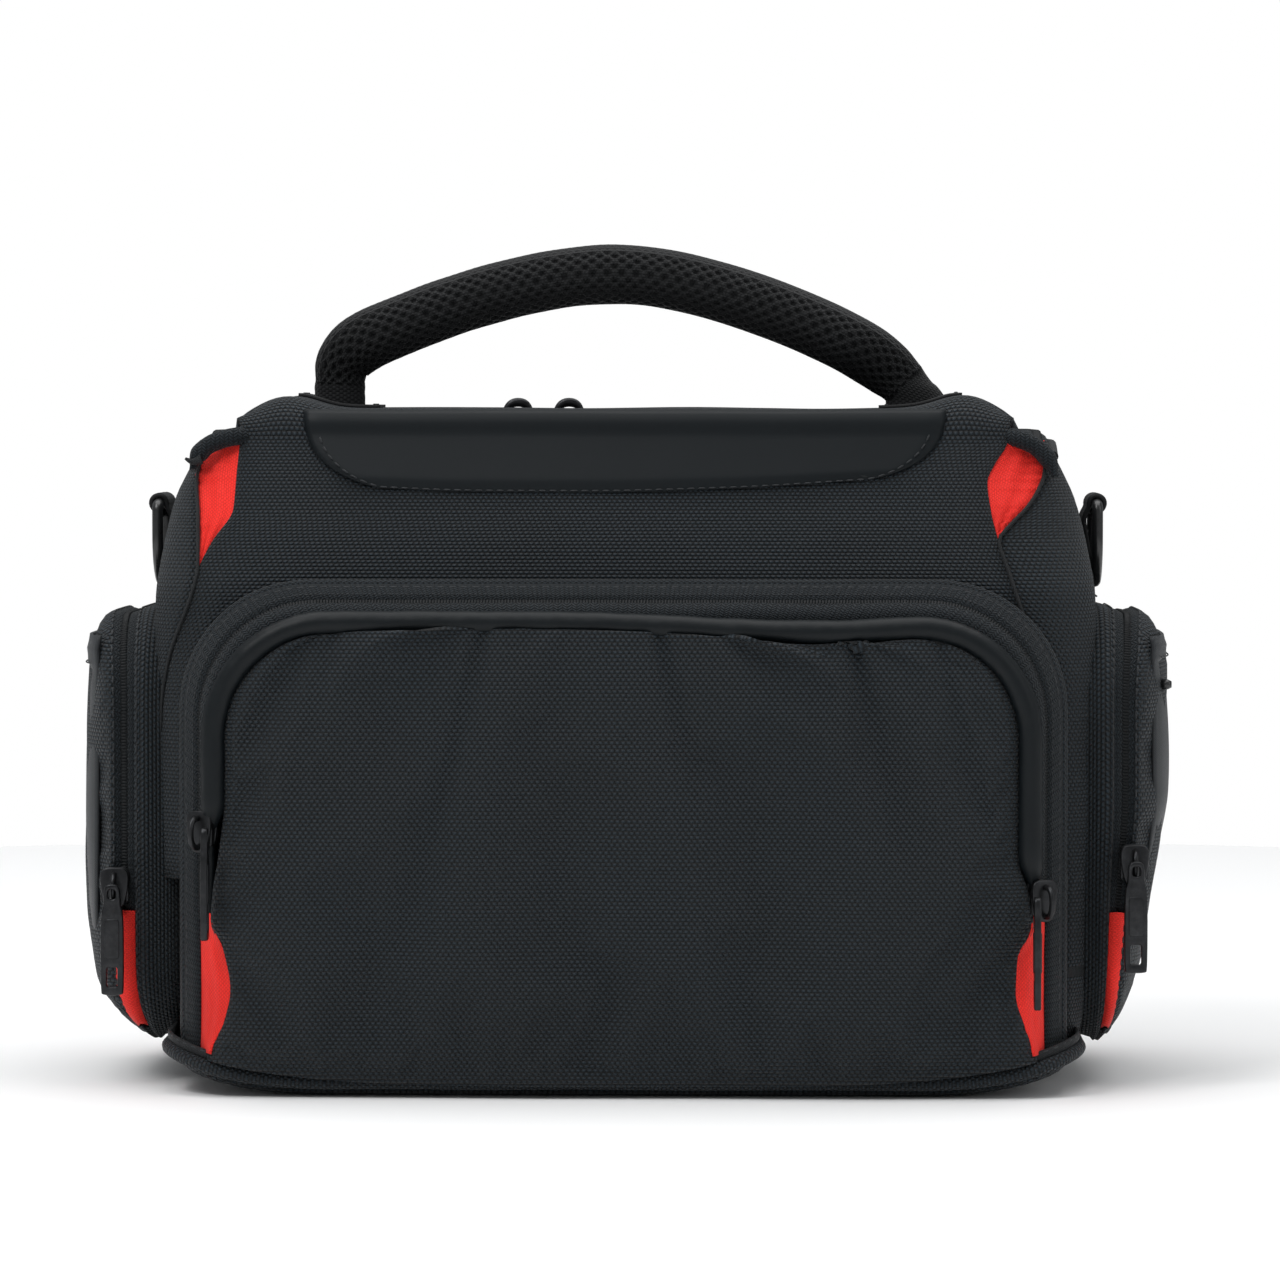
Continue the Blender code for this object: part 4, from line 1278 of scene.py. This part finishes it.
def shift(x=0.0, y=0.0, z=0.0):
    return Matrix.Translation((x * MM, y * MM, z * MM))


def turned(axis, degrees):
    return Matrix.Rotation(math.radians(degrees), 4, axis)


def wire(name, points, radius, finish="metal", closed=False):
    """A bent wire as a mesh in metres, in its own frame."""
    obj = sweep(name, points, lambda place: oval(radius, radius, 12), finish, None, None, closed=closed,
                up=(0.03, 1.0, 0.02), keep_flat=0.0)
    mesh = obj.data
    bpy.data.objects.remove(obj, do_unlink=True)
    return mesh


def slider_meshes():
    """Shared shapes of a slider: plates, posts and bail. X runs along the zipper, Z out of it."""
    upper = smooth_route([(-5.6, -2.2, 0), (-3.0, -3.4, 0), (3.2, -4.3, 0), (5.8, -3.4, 0), (6.0, 0, 0),
                          (5.8, 3.4, 0),
                          (3.2, 4.3, 0), (-3.0, 3.4, 0), (-5.6, 2.2, 0), (-6.0, 0, 0)], 2, closed=True)
    plate = flat_shape("slider_plate", [[(p.x, p.y) for p in upper]], 1.6, "metal", 0.45)
    post = flat_shape("slider_post", [rounded_loop(-1.6, 1.6, -1.1, 1.1, 0.9, 20)], 3.0, "metal", 0.3)
    rail = flat_shape("slider_rail", [rounded_loop(-4.0, 3.0, -0.5, 0.5, 0.4, 16)], 1.6, "metal", 0.2)
    hoop = smooth_route([(-4.4, 0, 1.2), (-4.2, 0, 3.6), (-2.0, 0, 5.0), (1.6, 0, 5.0), (3.6, 0, 3.8),
                         (4.0, 0, 1.2)], 3)
    bail = wire("slider_bail", hoop, 0.85)
    return plate, post, rail, bail


SLIDER_PARTS = slider_meshes()


def slider(name, body, at, along, out, nodes, tall=1.0):
    """A slider whose upper plate sits at a point, facing out; tall stretches its bail."""
    plate, post, rail, bail = SLIDER_PARTS
    across = Vector(out).cross(Vector(along))
    turn = Matrix((Vector(along), across, Vector(out))).transposed().to_4x4()
    place = shift(*at) @ turn
    parts = [(plate, place @ shift(z=2.3)), (plate, place @ shift(z=-1.0)),
             (post, place @ shift(x=3.6, z=0.7)),
             (rail, place @ shift(y=3.5, z=1.4)), (rail, place @ shift(y=-3.5, z=1.4)),
             (bail, place @ shift(z=1.6) @ Matrix.Diagonal((1.0, 1.0, tall, 1.0)))]
    obj = join_meshes(name, parts, "metal", body)
    planar_map(obj)
    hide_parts(*nodes)
    return obj


def pull_meshes():
    """Shared shapes of a pull tab, hanging along -Z from its pivot, flat across Y."""
    width, length = 6.6, 30.0
    half = width / 2
    outer = smooth_route([(-1.7, 1.7, 0), (1.7, 1.7, 0), (2.4, -0.6, 0), (2.4, -4.5, 0), (half, -6.5, 0),
                          (half, -length + 0.9, 0), (half - 0.6, -length, 0), (0.6 - half, -length, 0),
                          (-half, -length + 0.9, 0), (-half, -6.5, 0), (-2.4, -4.5, 0), (-2.4, -0.6, 0)], 2,
                         closed=True)
    eye = rounded_loop(-1.2, 1.2, -2.6, 0.3, 1.0, 24)
    slot = rounded_loop(-1.5, 1.5, -length + 2.4, -length + 8.0, 0.5, 28)
    tab = flat_shape("pull_tab", [[(p.x, p.y) for p in outer], eye, slot], 1.9, "metal", 0.45)
    panel_loop = rounded_loop(-2.1, 2.1, -length + 10.4, -8.2, 0.7, 28)
    panel = flat_shape("pull_panel", [panel_loop], 0.9, "metal", 0.3)
    return tab, panel


PULL_PARTS = pull_meshes()


def pull(name, body, at, down, normal, nodes, tilt=0.0):
    tab, panel = PULL_PARTS
    up = -Vector(down)
    across = up.cross(Vector(normal))
    turn = Matrix((across, up, Vector(normal))).transposed().to_4x4()
    place = shift(*at) @ turn @ turned("X", tilt)
    parts = [(tab, place), (panel, place @ shift(z=0.75)), (panel, place @ shift(z=-0.75))]
    obj = join_meshes(name, parts, "metal", body)
    planar_map(obj)
    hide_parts(*nodes)
    return obj


def joint_at(name):
    joint = next(item for item in frame["joints"] if item["name"] == name)
    return [value / MM for value in joint["pos_m"]]


def hardware():
    down = (0.0, 0.0, -1.0)
    for side, sign in SIDES:
        low, high = box_mm("main_slider_" + side)
        x, y = (low[0] + high[0]) / 2, (low[1] + high[1]) / 2
        slider("main_zip_slider_" + side, "main_slider_" + side, (x, y - 1.4, low[2] - 0.4), (1, 0, 0),
               (0, 0, 1),
               ["main_slider_" + side], tall=1.62)
        pull("main_zip_pull_" + side, "main_pull_" + side, joint_at("main_pull_swing_" + side), down,
             (0, 1, 0),
             ["main_pull_" + side])
        low, high = box_mm("front_slider_" + side)
        y, z = (low[1] + high[1]) / 2, (low[2] + high[2]) / 2
        slider("front_zip_slider_" + side, "front_slider_" + side, (sign * 117.6, y - 1.6, z), (0, 0, 1),
               (sign * 0.5, -0.866, 0.0), ["front_slider_" + side])
        at = joint_at("front_pull_swing_" + side)
        pull("front_zip_pull_" + side, "front_pull_" + side, (sign * 116.6, at[1] - 2.0, at[2]), down,
             (sign * 1.0, 0.0, 0.0), ["front_pull_" + side])
        low, high = box_mm("side_slider_" + side)
        x, z = (low[0] + high[0]) / 2, (low[2] + high[2]) / 2
        slider("side_zip_slider_" + side, "side_slider_" + side, (x + sign * 1.6, high[1] - 0.6, z),
               (0, 0, 1),
               (0, -1, 0), ["side_slider_" + side])
        at = joint_at("side_pull_swing_" + side)
        pull("side_zip_pull_" + side, "side_pull_" + side, (at[0] + sign * 1.6, at[1], at[2]), down,
             (0, -1, 0),
             ["side_pull_" + side])


RING_CLOSER = 3.0


def d_rings():
    for side, sign in SIDES:
        low, high = box_mm("d_ring_" + side)
        radius = (high[0] - low[0]) / 2
        x = (low[0] + high[0]) / 2 - sign * RING_CLOSER
        half = (high[1] - low[1]) / 2 - radius
        bar_z = joint_at("d_ring_swing_" + side)[2]
        drop = bar_z - low[2] - radius
        corner = 3.0
        points = [(x, half - corner, bar_z), (x, half, bar_z - corner * 0.3), (x, half, bar_z - corner)]
        arc_radius = half
        for step in range(21):
            angle = math.pi * step / 20
            points.append((x, arc_radius * math.cos(angle),
                           bar_z - drop + arc_radius - arc_radius * math.sin(angle)))
        points += [(x, -half, bar_z - corner), (x, -half, bar_z - corner * 0.3), (x, corner - half, bar_z)]
        loop = smooth_route(points, 2, closed=True)
        ring = sweep("d_ring_wire_" + side, resample(loop, 110, closed=True),
                     lambda place: oval(radius, radius, 16),
                     "ring", "d_ring_" + side, "ring_metal", closed=True, up=(1.0, 0.0, 0.0), keep_flat=0.0)
        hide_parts("d_ring_" + side)
        bar = radius + 0.75
        wall = lambda z: between(BODY_HALF, z) + 0.3
        route = [(wall(137.0) + 0.3, 137.0), (wall(146.0) + 0.4, 146.0), (wall(156.0) + 0.6, 156.0),
                 (x * sign - bar - 1.6, bar_z - 4.0)]
        for step in range(9):
            angle = math.radians(205.0 - 245.0 * step / 8)
            route.append((x * sign + bar * math.cos(angle), bar_z + bar * math.sin(angle)))
        route.append((x * sign - 0.6, bar_z - 3.8))
        path = [Vector((sign * u, 0.0, v)) for u, v in route]
        path = resample(smooth_route(path, 2), 64)
        rows = [[point + Vector((0.0, y, 0.12 * math.sin(y * 2.2))) for y in np.linspace(-10.4, 10.4, 27)]
                for point in path]
        tab = grid("d_ring_webbing_" + side, rows, "webbing", "body", "webbing", keep_flat=0.0,
                   flip=sign < 0)
        thicken(tab, 1.3, offset=0.0)
        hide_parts("d_ring_tab_" + side)
        for z in (139.5, 158.5):
            seam = [(sign * (wall(z) + 1.35), y, z) for y in np.linspace(-9.0, 9.0, 12)]
            stitches("d_ring_stitches_%s_%d" % (side, z), seam, "body", (sign, 0.0, 0.0), pitch=2.6,
                     length=1.9,
                     slot_name="webbing")


# ---- Side pockets ------------------------------------------------------------------------------
SIDE_LOW, SIDE_HIGH = box_mm("side_pocket_band_right")
SIDE_ZIP_LOW = box_mm("side_zip_body_right")[0][2]
SLIP_OUT = box_mm("side_slip_pocket_right")[1][0]
SIDE_FALL = {
    "left": ((11, 0.10), (16, 0.42), (22, 0.72), (30, 0.93), (40, 0.99), (60, 1.0), (120, 1.0), (136, 0.93)),
    "right": ((11, 0.10), (16, 0.30), (24, 0.48), (36, 0.62), (52, 0.74), (70, 0.92), (84, 1.0), (120, 1.0),
              (136, 0.93)),
}


def side_point(side, sign, x, y, z):
    """A point of the side pocket, drawn in towards the body near the pocket's lower edge."""
    foot = SIDE_LOW[0] - 0.3
    if x < foot:
        return Vector((sign * x, y, z))
    rounding = 1.0 - 0.24 * (abs(y) / 45.0) ** 3
    return Vector((sign * (foot + (x - foot) * between(SIDE_FALL[side], z) * rounding), y, z))


def side_ring(side, sign, inset, x, count=168):
    half = SIDE_HIGH[1] - inset
    loop = rounded_loop(-half, half, SIDE_LOW[2] + inset, SIDE_HIGH[2] - inset, max(26.0 - inset, 3.0),
                        count)
    return [side_point(side, sign, x, y, z) for y, z in loop]


def part_of_ring(ring, keep):
    """The longest run of neighbours that keep() accepts, in order."""
    count = len(ring)
    start = next(i for i in range(count) if keep(ring[i]) and not keep(ring[i - 1]))
    run = []
    for step in range(count):
        point = ring[(start + step) % count]
        if not keep(point):
            break
        run.append(point)
    return run


def side_strip(name, side, sign, rings, finish, body, slot_name, keep=None, thickness=0.9, inner=None,
               outside=False):
    rows = []
    for inset, x in rings:
        ring = side_ring(side, sign, inset, x)
        rows.append(part_of_ring(ring, keep) if keep else ring)
    if keep:
        shortest = min(len(row) for row in rows)
        rows = [resample(row, shortest) for row in rows]
    flip = (sign > 0) != outside
    obj = grid(name, rows, finish, body, slot_name, closed=keep is None, keep_flat=0.0, flip=flip)
    return thicken(obj, thickness, offset=0.0, inner=inner)


def side_pocket(side, sign):
    flap = "side_flap_" + side
    zipped = lambda p: p.z > SIDE_ZIP_LOW
    band = side_strip("side_pocket_gusset_" + side, side, sign,
                      ((2.6, 127.0), (0.6, 131.0), (-0.6, 134.9), (-1.4, 137.4), (-0.9, 139.6),
                       (-0.2, 141.4)), "nylon",
                      "body", "shell_nylon", thickness=1.3, inner="lining", outside=True)
    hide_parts("side_pocket_band_" + side)
    tape = side_strip("side_zip_tape_body_" + side, side, sign, ((-0.4, 140.8), (0.1, 142.6), (0.9, 145.0)),
                      "tape",
                      "body", "zipper_tape", zipped)
    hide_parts("side_zip_body_" + side)
    tape = side_strip("side_zip_tape_flap_" + side, side, sign, ((0.9, 146.2), (0.4, 148.0), (0.2, 149.4)),
                      "tape",
                      flap, "zipper_tape", zipped)
    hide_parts("side_zip_flap_" + side)
    line = resample(part_of_ring(side_ring(side, sign, 0.6, 145.6, 240), zipped), 300)
    centre_z = (SIDE_LOW[2] + SIDE_HIGH[2]) / 2
    out = lambda p: (0.15 * sign, p.y / 45.0, max(0.0, (p.z - centre_z - 25.0) / 36.0) + 0.01)
    coil_teeth("side_zip_coil_body_" + side, line, "body", out, 0.0, pitch=1.8, wide=2.3, high=1.2)
    coil_teeth("side_zip_coil_flap_" + side, line, flap, out, 1.0, pitch=1.8, wide=2.3, high=1.2)
    for label, inset, x, body in (("body", -0.9, 141.0, "body"), ("flap", 0.0, 149.7, flap)):
        seam = part_of_ring(side_ring(side, sign, inset - 0.5, x), lambda p: p.z > 20)
        stitches("side_tape_stitches_%s_%s" % (label, side), seam, body, out, pitch=3.2, thick=0.28)
    lower = ((0.2, 141.0), (-0.9, 142.6), (-1.5, 144.6), (-1.6, 146.6), (-0.8, 148.4), (0.4, 149.8))
    edges = (("front", lambda p: 16.0 < p.z <= SIDE_ZIP_LOW + 1 and p.y < -10, "red", "red_gusset"),
             ("back", lambda p: 16.0 < p.z <= SIDE_ZIP_LOW + 1 and p.y > 10, "red", "red_gusset"),
             ("fold", lambda p: p.z <= 17.0, "nylon", "shell_nylon"))
    for label, keep, finish, slot_name in edges:
        obj = side_strip("side_%s_cloth_%s" % (label, side), side, sign, lower, finish, None, None, keep)
        if label != "fold":
            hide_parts("side_gusset_%s_%s" % (label, side))
        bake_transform(obj)
    side_flap(side, sign, flap)


def fill_middle(obj, rows, facing):
    """Closes the innermost ring of a ringed panel with one face, and turns the panel to face +X or -X."""
    work = bmesh.new()
    work.from_mesh(obj.data)
    work.verts.ensure_lookup_table()
    last = len(rows[0]) * (len(rows) - 1)
    work.faces.new([work.verts[last + index] for index in range(len(rows[0]))])
    bmesh.ops.recalc_face_normals(work, faces=work.faces)
    middle = next(face for face in work.faces if len(face.verts) > 4)
    if middle.normal.x * facing < 0:
        bmesh.ops.reverse_faces(work, faces=work.faces)
    work.to_mesh(obj.data)
    work.free()


def side_flap(side, sign, flap):
    """Padded flap and, sewn on it, the flat slip pocket of smoother cloth."""
    rings = [(0.3, 149.4), (-0.4, 150.4), (-0.3, 151.8), (0.8, 153.4), (3.0, 154.6), (6.0, 155.2),
             (10.0, 155.7),
             (15.0, 156.0), (20.0, 156.2), (26.0, 156.3), (32.0, 156.3), (38.0, 156.3), (41.5, 156.3)]
    rows = []
    for inset, x in rings:
        ring = side_ring(side, sign, inset, x - 0.9)
        ease_in = ease(inset / 12.0)
        rows.append([p + Vector((sign * 0.7 * ease_in * ripple(p.y, sign * 40, p.z, 26.0), 0.0,
                                 0.0)) for p in ring])
    obj = grid("side_flap_nylon_" + side, rows, "nylon", flap, "shell_nylon", closed=True, keep_flat=0.0,
               flip=sign > 0)
    pinned = [(index, 1.0) for index in range(len(rows[0]) * 3)]
    pinned += [(index, 0.6) for index in range(len(rows[0]) * 11, len(rows[0]) * len(rows))]
    fill_middle(obj, rows, sign)
    planar_map(obj)
    press(obj, pinned, frames=14, pressure=0.5, slack=0.010, most=1.6)
    thicken(obj, 1.4, inner="lining")
    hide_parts("side_flap_" + side)
    inner = [[p - Vector((sign * 3.6, 0, 0)) for p in side_ring(side, sign, inset, 153.0)]
             for inset in (3.0, 14.0, 26.0, 38.0)]
    lining = grid("side_flap_lining_" + side, inner, "lining", flap, "lining", closed=True, keep_flat=0.0,
                  flip=sign < 0)
    fill_middle(lining, inner, -sign)
    planar_map(lining)
    thicken(lining, 1.2)
    slip_low = {"left": 40.0, "right": 62.0}[side]
    top, half = 129.0, 39.5
    rows = []
    for step in range(45):
        t = step / 44
        z = slip_low + (top - slip_low) * t
        row = []
        for place in range(49):
            f = -1.0 + 2.0 * place / 48
            y = f * half * (1.0 - 0.05 * (1 - t) ** 2)
            rise = 1.0 - abs(f) ** 6
            fold = 2.3 * rise * math.sin(math.pi * min(t * 1.15,
                                                       1.0)) ** 0.5 if t < 0.9 else 2.3 * rise * 0.62
            hem = 0.5 * math.exp(-((t - 0.955) / 0.02) ** 2)
            foot = 1.0 - (1 - ease(t / 0.07)) * 0.9
            x = SLIP_OUT - 2.2 + fold * foot + hem + 0.35 * ripple(y, sign * 70, z, 18.0) * rise
            corner = max(0.0, abs(y) - 34.0) ** 2 * 0.03
            row.append(side_point(side, sign, x - corner, y, z))
        rows.append(row)
    slip = grid("side_slip_cloth_" + side, rows, "fine_nylon", flap, "slip_cloth", keep_flat=0.0,
                flip=sign < 0)
    thicken(slip, 0.9)
    say_sheet(rows)
    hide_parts("side_slip_pocket_" + side)
    hem_row = [rows[40][index] + Vector((sign * 0.5, 0, 0)) for index in range(2, 47)]
    if side == "right":
        spot = [(SLIP_OUT - 3.4, -33.0, 115.0), (SLIP_OUT - 1.6, -33.3, 115.0),
                (SLIP_OUT - 0.6, -33.4, 115.0)]
        rivet = sweep("side_slip_rivet", spot,
                      lambda place: oval(1.5 - 0.6 * place ** 3, 1.5 - 0.6 * place ** 3, 16),
                      "ring", flap, "slip_cloth", keep_flat=0.0)
        planar_map(rivet)
    stitches("side_slip_stitches_" + side, hem_row, flap, (sign, 0, 0), pitch=3.0, thick=0.24,
             slot_name="slip_cloth")


# ---- Handle ------------------------------------------------------------------------------------
HANDLE_Y = joint_at("handle_swing")[1]
HANDLE_LINE = ((-85.2, 196.6), (-85.2, 202.0), (-84.6, 207.6), (-79.0, 213.6), (-66.0, 219.0),
               (-52.0, 224.4),
               (-35.0, 229.4), (-18.0, 232.8), (-3.0, 233.8), (11.0, 232.4), (28.0, 228.2), (45.0, 222.3),
               (60.0, 215.8), (71.0, 209.8), (80.0, 202.6), (84.6, 196.6))
HANDLE_CUT_Z = 201.2


def handle():
    """Foam grip under spacer mesh: open mesh below, closer knit above, webbing out of both ends."""
    line = resample(smooth_route([(x, HANDLE_Y, z) for x, z in HANDLE_LINE], 3), 450)
    route = [point for point in line if point.z > HANDLE_CUT_Z]
    around = 132
    count = len(route)
    total = sum((b - a).length for a, b in zip(route, route[1:]))
    rows = []
    for index, centre in enumerate(route):
        place = index / (count - 1)
        before, after = route[max(index - 1, 0)], route[min(index + 1, count - 1)]
        along = (after - before).normalized()
        side = Vector((0.0, -1.0, 0.0))
        top = Vector((-along.z, 0.0, along.x))
        end = min(place, 1 - place) * total
        deep = 13.2 * (0.42 + 0.58 * ease(end / 24.0))
        thick = (8.7 - 0.9 * (1 - ease(end / 14.0))) * (0.93 + 0.07 * ease(end / 6.0))
        puff = 1.0 + 0.025 * ripple(centre.x, 0.0, centre.z, 13.0)
        row = []
        for step in range(around):
            angle = 2 * math.pi * step / around
            cosine, sine = math.cos(angle), math.sin(angle)
            s = deep * math.copysign(abs(cosine) ** 0.82, cosine)
            t = thick * math.copysign(abs(sine) ** 0.86, sine)
            radial = Vector((0.0, 0.0, 0.0)) + side * s + top * t
            length = total * place
            girth = 70.0 * step / around
            row_number = round(girth / 2.05)
            offset = 2.1 if row_number % 2 else 0.0
            from_hole = math.hypot((length + offset) % 4.2 - 2.1, (girth - row_number * 2.05) * 1.15)
            open_mesh = sine < 0.66
            dent = 1.15 * (1.0 - ease((from_hole - 0.45) / 0.95)) if open_mesh else 0.0
            if not open_mesh:
                knit = math.hypot((length + 0.5 * offset) % 2.1 - 1.05, girth - row_number * 2.05)
                dent = 0.38 * (1.0 - ease((knit - 0.15) / 0.75))
            welt = 0.3 * math.exp(-((sine - 0.70) / 0.04) ** 2)
            scale = puff * (1.0 + (welt - dent) / max(radial.length, 4.0))
            row.append(centre + radial * scale)
        rows.append(row)
    obj = grid("handle_mesh_cover", rows, "mesh", None, None, closed=True, flip=True, keep_flat=0.0)
    work = bmesh.new()
    work.from_mesh(obj.data)
    work.verts.ensure_lookup_table()
    work.faces.new([work.verts[index] for index in range(around)])
    work.faces.new([work.verts[around * (count - 1) + index] for index in range(around)][::-1])
    bmesh.ops.recalc_face_normals(work, faces=work.faces)
    work.to_mesh(obj.data)
    work.free()
    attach(obj, "handle")
    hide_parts("handle_grip")
    for side, sign in SIDES:
        low, high = box_mm("handle_foot_" + side)
        end = route[0] if sign < 0 else route[-1]
        middle = (low[0] + high[0]) / 2
        rows = []
        for step in range(25):
            t = step / 24
            x = middle - sign * 12.5 + sign * 24.0 * t
            z = lid_height(x, HANDLE_Y) + 0.2
            rows.append([(x, HANDLE_Y + y, z + 0.1 * math.sin(y * 2.4))
                         for y in np.linspace(-11.4, 11.4, 31)])
        foot = grid("handle_foot_webbing_" + side, rows, "webbing", "lid", "webbing", keep_flat=0.0,
                    flip=sign > 0)
        thicken(foot, 1.0, offset=0.0)
        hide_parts("handle_foot_" + side)
        for x in (middle - sign * 10.5, middle + sign * 10.0):
            seam = [(x, HANDLE_Y + y, lid_height(x, HANDLE_Y) + 0.8) for y in np.linspace(-10, 10, 12)]
            stitches("handle_foot_stitches_%s_%d" % (side, x), seam, "lid", (0, 0, 1), pitch=2.4, length=1.8,
                     slot_name="webbing")
        floor_z = lid_height(end.x, HANDLE_Y) - 0.6
        rings = []
        for step in range(19):
            z = floor_z + (end.z + 5.0 - floor_z) * step / 18
            if z < end.z + 1.0:
                x = min(line, key=lambda point: abs(point.z - z) + (0 if point.x * sign > 0 else 99)).x
                size = 1.0 - 0.03 * ripple(z, sign * 7, 0, 2.0)
            else:
                x, size = x, size * 0.94
            rings.append([(x + side_x * size, HANDLE_Y + side_y * size, z) for side_x,
                          side_y in oval(7.5 if sign < 0 else 9.0, 5.3, 40)])
        neck = grid("handle_neck_" + side, rings, "mesh", None, None, closed=True, keep_flat=0.0)
        work = bmesh.new()
        work.from_mesh(neck.data)
        bmesh.ops.holes_fill(work, edges=work.edges)
        bmesh.ops.recalc_face_normals(work, faces=work.faces)
        work.to_mesh(neck.data)
        work.free()
        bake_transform(neck)


# ---- Lid zipper and inside ---------------------------------------------------------------------
def u_route(half, front, back, z, corner=9.0, count=260):
    """Route round both sides and the back: from the left front end to the right front end."""
    points = [(-half, front, z), (-half, back - corner, z)]
    for centre, start in ((corner - half, 180.0), (half - corner, 90.0)):
        for step in range(9):
            angle = math.radians(start - 90.0 * step / 8)
            points.append((centre + corner * math.cos(angle), back - corner + corner * math.sin(angle), z))
    points.append((half, front, z))
    return resample(points, count)


def lid_zipper():
    """Both halves of the lid's zipper, round the rim."""
    (_, y0, z0), (x1, y1, z1) = box_mm("rim_zip_body")
    line_y = box_mm("lid_zip_half")[1][1] + 0.3
    line_x = box_mm("lid_zip_half")[1][0] + 0.3
    front = y0 - 1.0

    def dip(route, amount):
        return [p - Vector((0, 0, amount * (1 - ease((p.y - front) / 16.0)))) for p in route]

    outer = dip(u_route(x1 - 0.6, front, y1 - 0.4, z0 - 1.0, 12.0), 3.4)
    inner = dip(u_route(line_x + 0.2, front, line_y + 0.2, z1 + 0.4, 9.0), 2.6)
    tape = tape_strip("lid_zip_tape_body", outer, inner, "body", lift=0.8)
    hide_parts("rim_zip_body")
    inner_lid = dip(u_route(line_x - 6.0, front, line_y - 6.4, z1 + 1.2, 6.0), 1.4)
    middle = dip(u_route(line_x - 0.2, front, line_y - 0.2, z1 + 0.4, 9.0), 2.6)
    tape = tape_strip("lid_zip_tape_lid", middle, inner_lid, "lid", lift=0.4)
    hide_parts("lid_zip_half")
    line = dip(u_route(line_x, front, line_y, z1 + 0.9, 9.0, 500), 2.6)
    coil_teeth("lid_zip_coil_body", line, "body", (0, 0, 1), 0.0, pitch=2.1)
    coil_teeth("lid_zip_coil_lid", line, "lid", (0, 0, 1), 1.0, pitch=2.1)
    seam = dip(u_route(x1 - 1.5, front, y1 - 1.4, z1 - 0.3, 11.5), 3.4)
    stitches("lid_zip_stitches", seam, "body", (0, 0, 1), pitch=3.2)
    cord_route = dip(u_route(x1 + 0.4, front + 1.0, y1 + 0.6, z0 - 1.6, 12.5), 3.4)
    edge = sweep("rim_binding", cord_route, lambda place: oval(1.5, 1.5, 12), "binding", "body",
                 "shell_nylon",
                 up=(0, 0, 1), keep_flat=0.0)
    planar_map(edge)


def inside():
    """Floor pad and the two dividers that slide on hook-and-loop edges."""
    (x0, y0, z0), (x1, y1, z1) = box_mm("floor_pad")
    rings = []
    for inset, z in ((20.0, z0 + 0.3), (1.0, z0 + 0.3), (0.4, z0 + 2.0), (0.8, z0 + 4.4), (3.0, z1 - 0.4),
                     (12.0, z1 - 0.1),
                     (24.0, z1 - 0.1), (36.0, z1 - 0.1), (48.0, z1 - 0.1)):
        loop = rounded_loop(x0 + inset, x1 - inset, y0 + inset, y1 - inset, 4.0, 150)
        rings.append([(x, y, z + 0.2 * ripple(x, y, z, 20.0)) for x, y in loop])
    closed_pad("floor_pad_cover", rings, "lining", "body", ["floor_pad"])
    for side, _ in SIDES:
        node = "divider_" + side
        (x0, y0, z0), (x1, y1, z1) = box_mm(node)
        middle, half = (x0 + x1) / 2, (x1 - x0) / 2
        rings = []
        for inset, swell in ((34.0, 1.02), (20.0, 1.0), (8.0, 0.96), (3.0, 0.86), (1.0, 0.55), (0.4, 0.0)):
            rings.append((inset, middle - half * swell))
        rings += [(inset, 2 * middle - x) for inset, x in reversed(rings[:-1])]
        loops = []
        for inset, x in rings:
            loop = rounded_loop(y0 + inset, y1 - inset, z0 + inset, z1 - inset, max(10.0 - inset, 3.0), 150)
            loops.append([(x + 0.35 * ripple(y, x, z, 22.0) * (1 if inset > 2 else 0), y, z) for y,
                          z in loop])
        closed_pad("divider_cover_" + side, loops, "lining", node, [node])
        for y in (y0 + 0.3, y1 - 0.3):
            route = [(middle, y, z) for z in np.linspace(z0 + 8, z1 - 9, 40)]
            strip = sweep("divider_hook_%s_%s" % (side, "front" if y < 0 else "back"), route,
                          lambda place: oval(half - 0.7, 0.4, 10, 0.6), "hook", node, "lining", up=(0, 1, 0),
                          keep_flat=0.0)
            planar_map(strip)


def closed_pad(name, rings, finish, body, nodes):
    """A padded piece from rings of points, closed at both ends."""
    obj = grid(name, rings, finish, None, None, closed=True, keep_flat=0.0)
    fill_holes(obj)
    planar_map(obj)
    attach(obj, body)
    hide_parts(*nodes)
    return obj


make_camera()
make_studio()
body_rows = body_shell()
front_wall()
base()
lid_cloth()
lid_padding()
trim_panel()
lid_gussets(body_rows)
lid_zip_ends()
front_pocket()
for side_name, side_sign in SIDES:
    side_pocket(side_name, side_sign)
handle()
lid_zipper()
inside()
d_rings()
hardware()
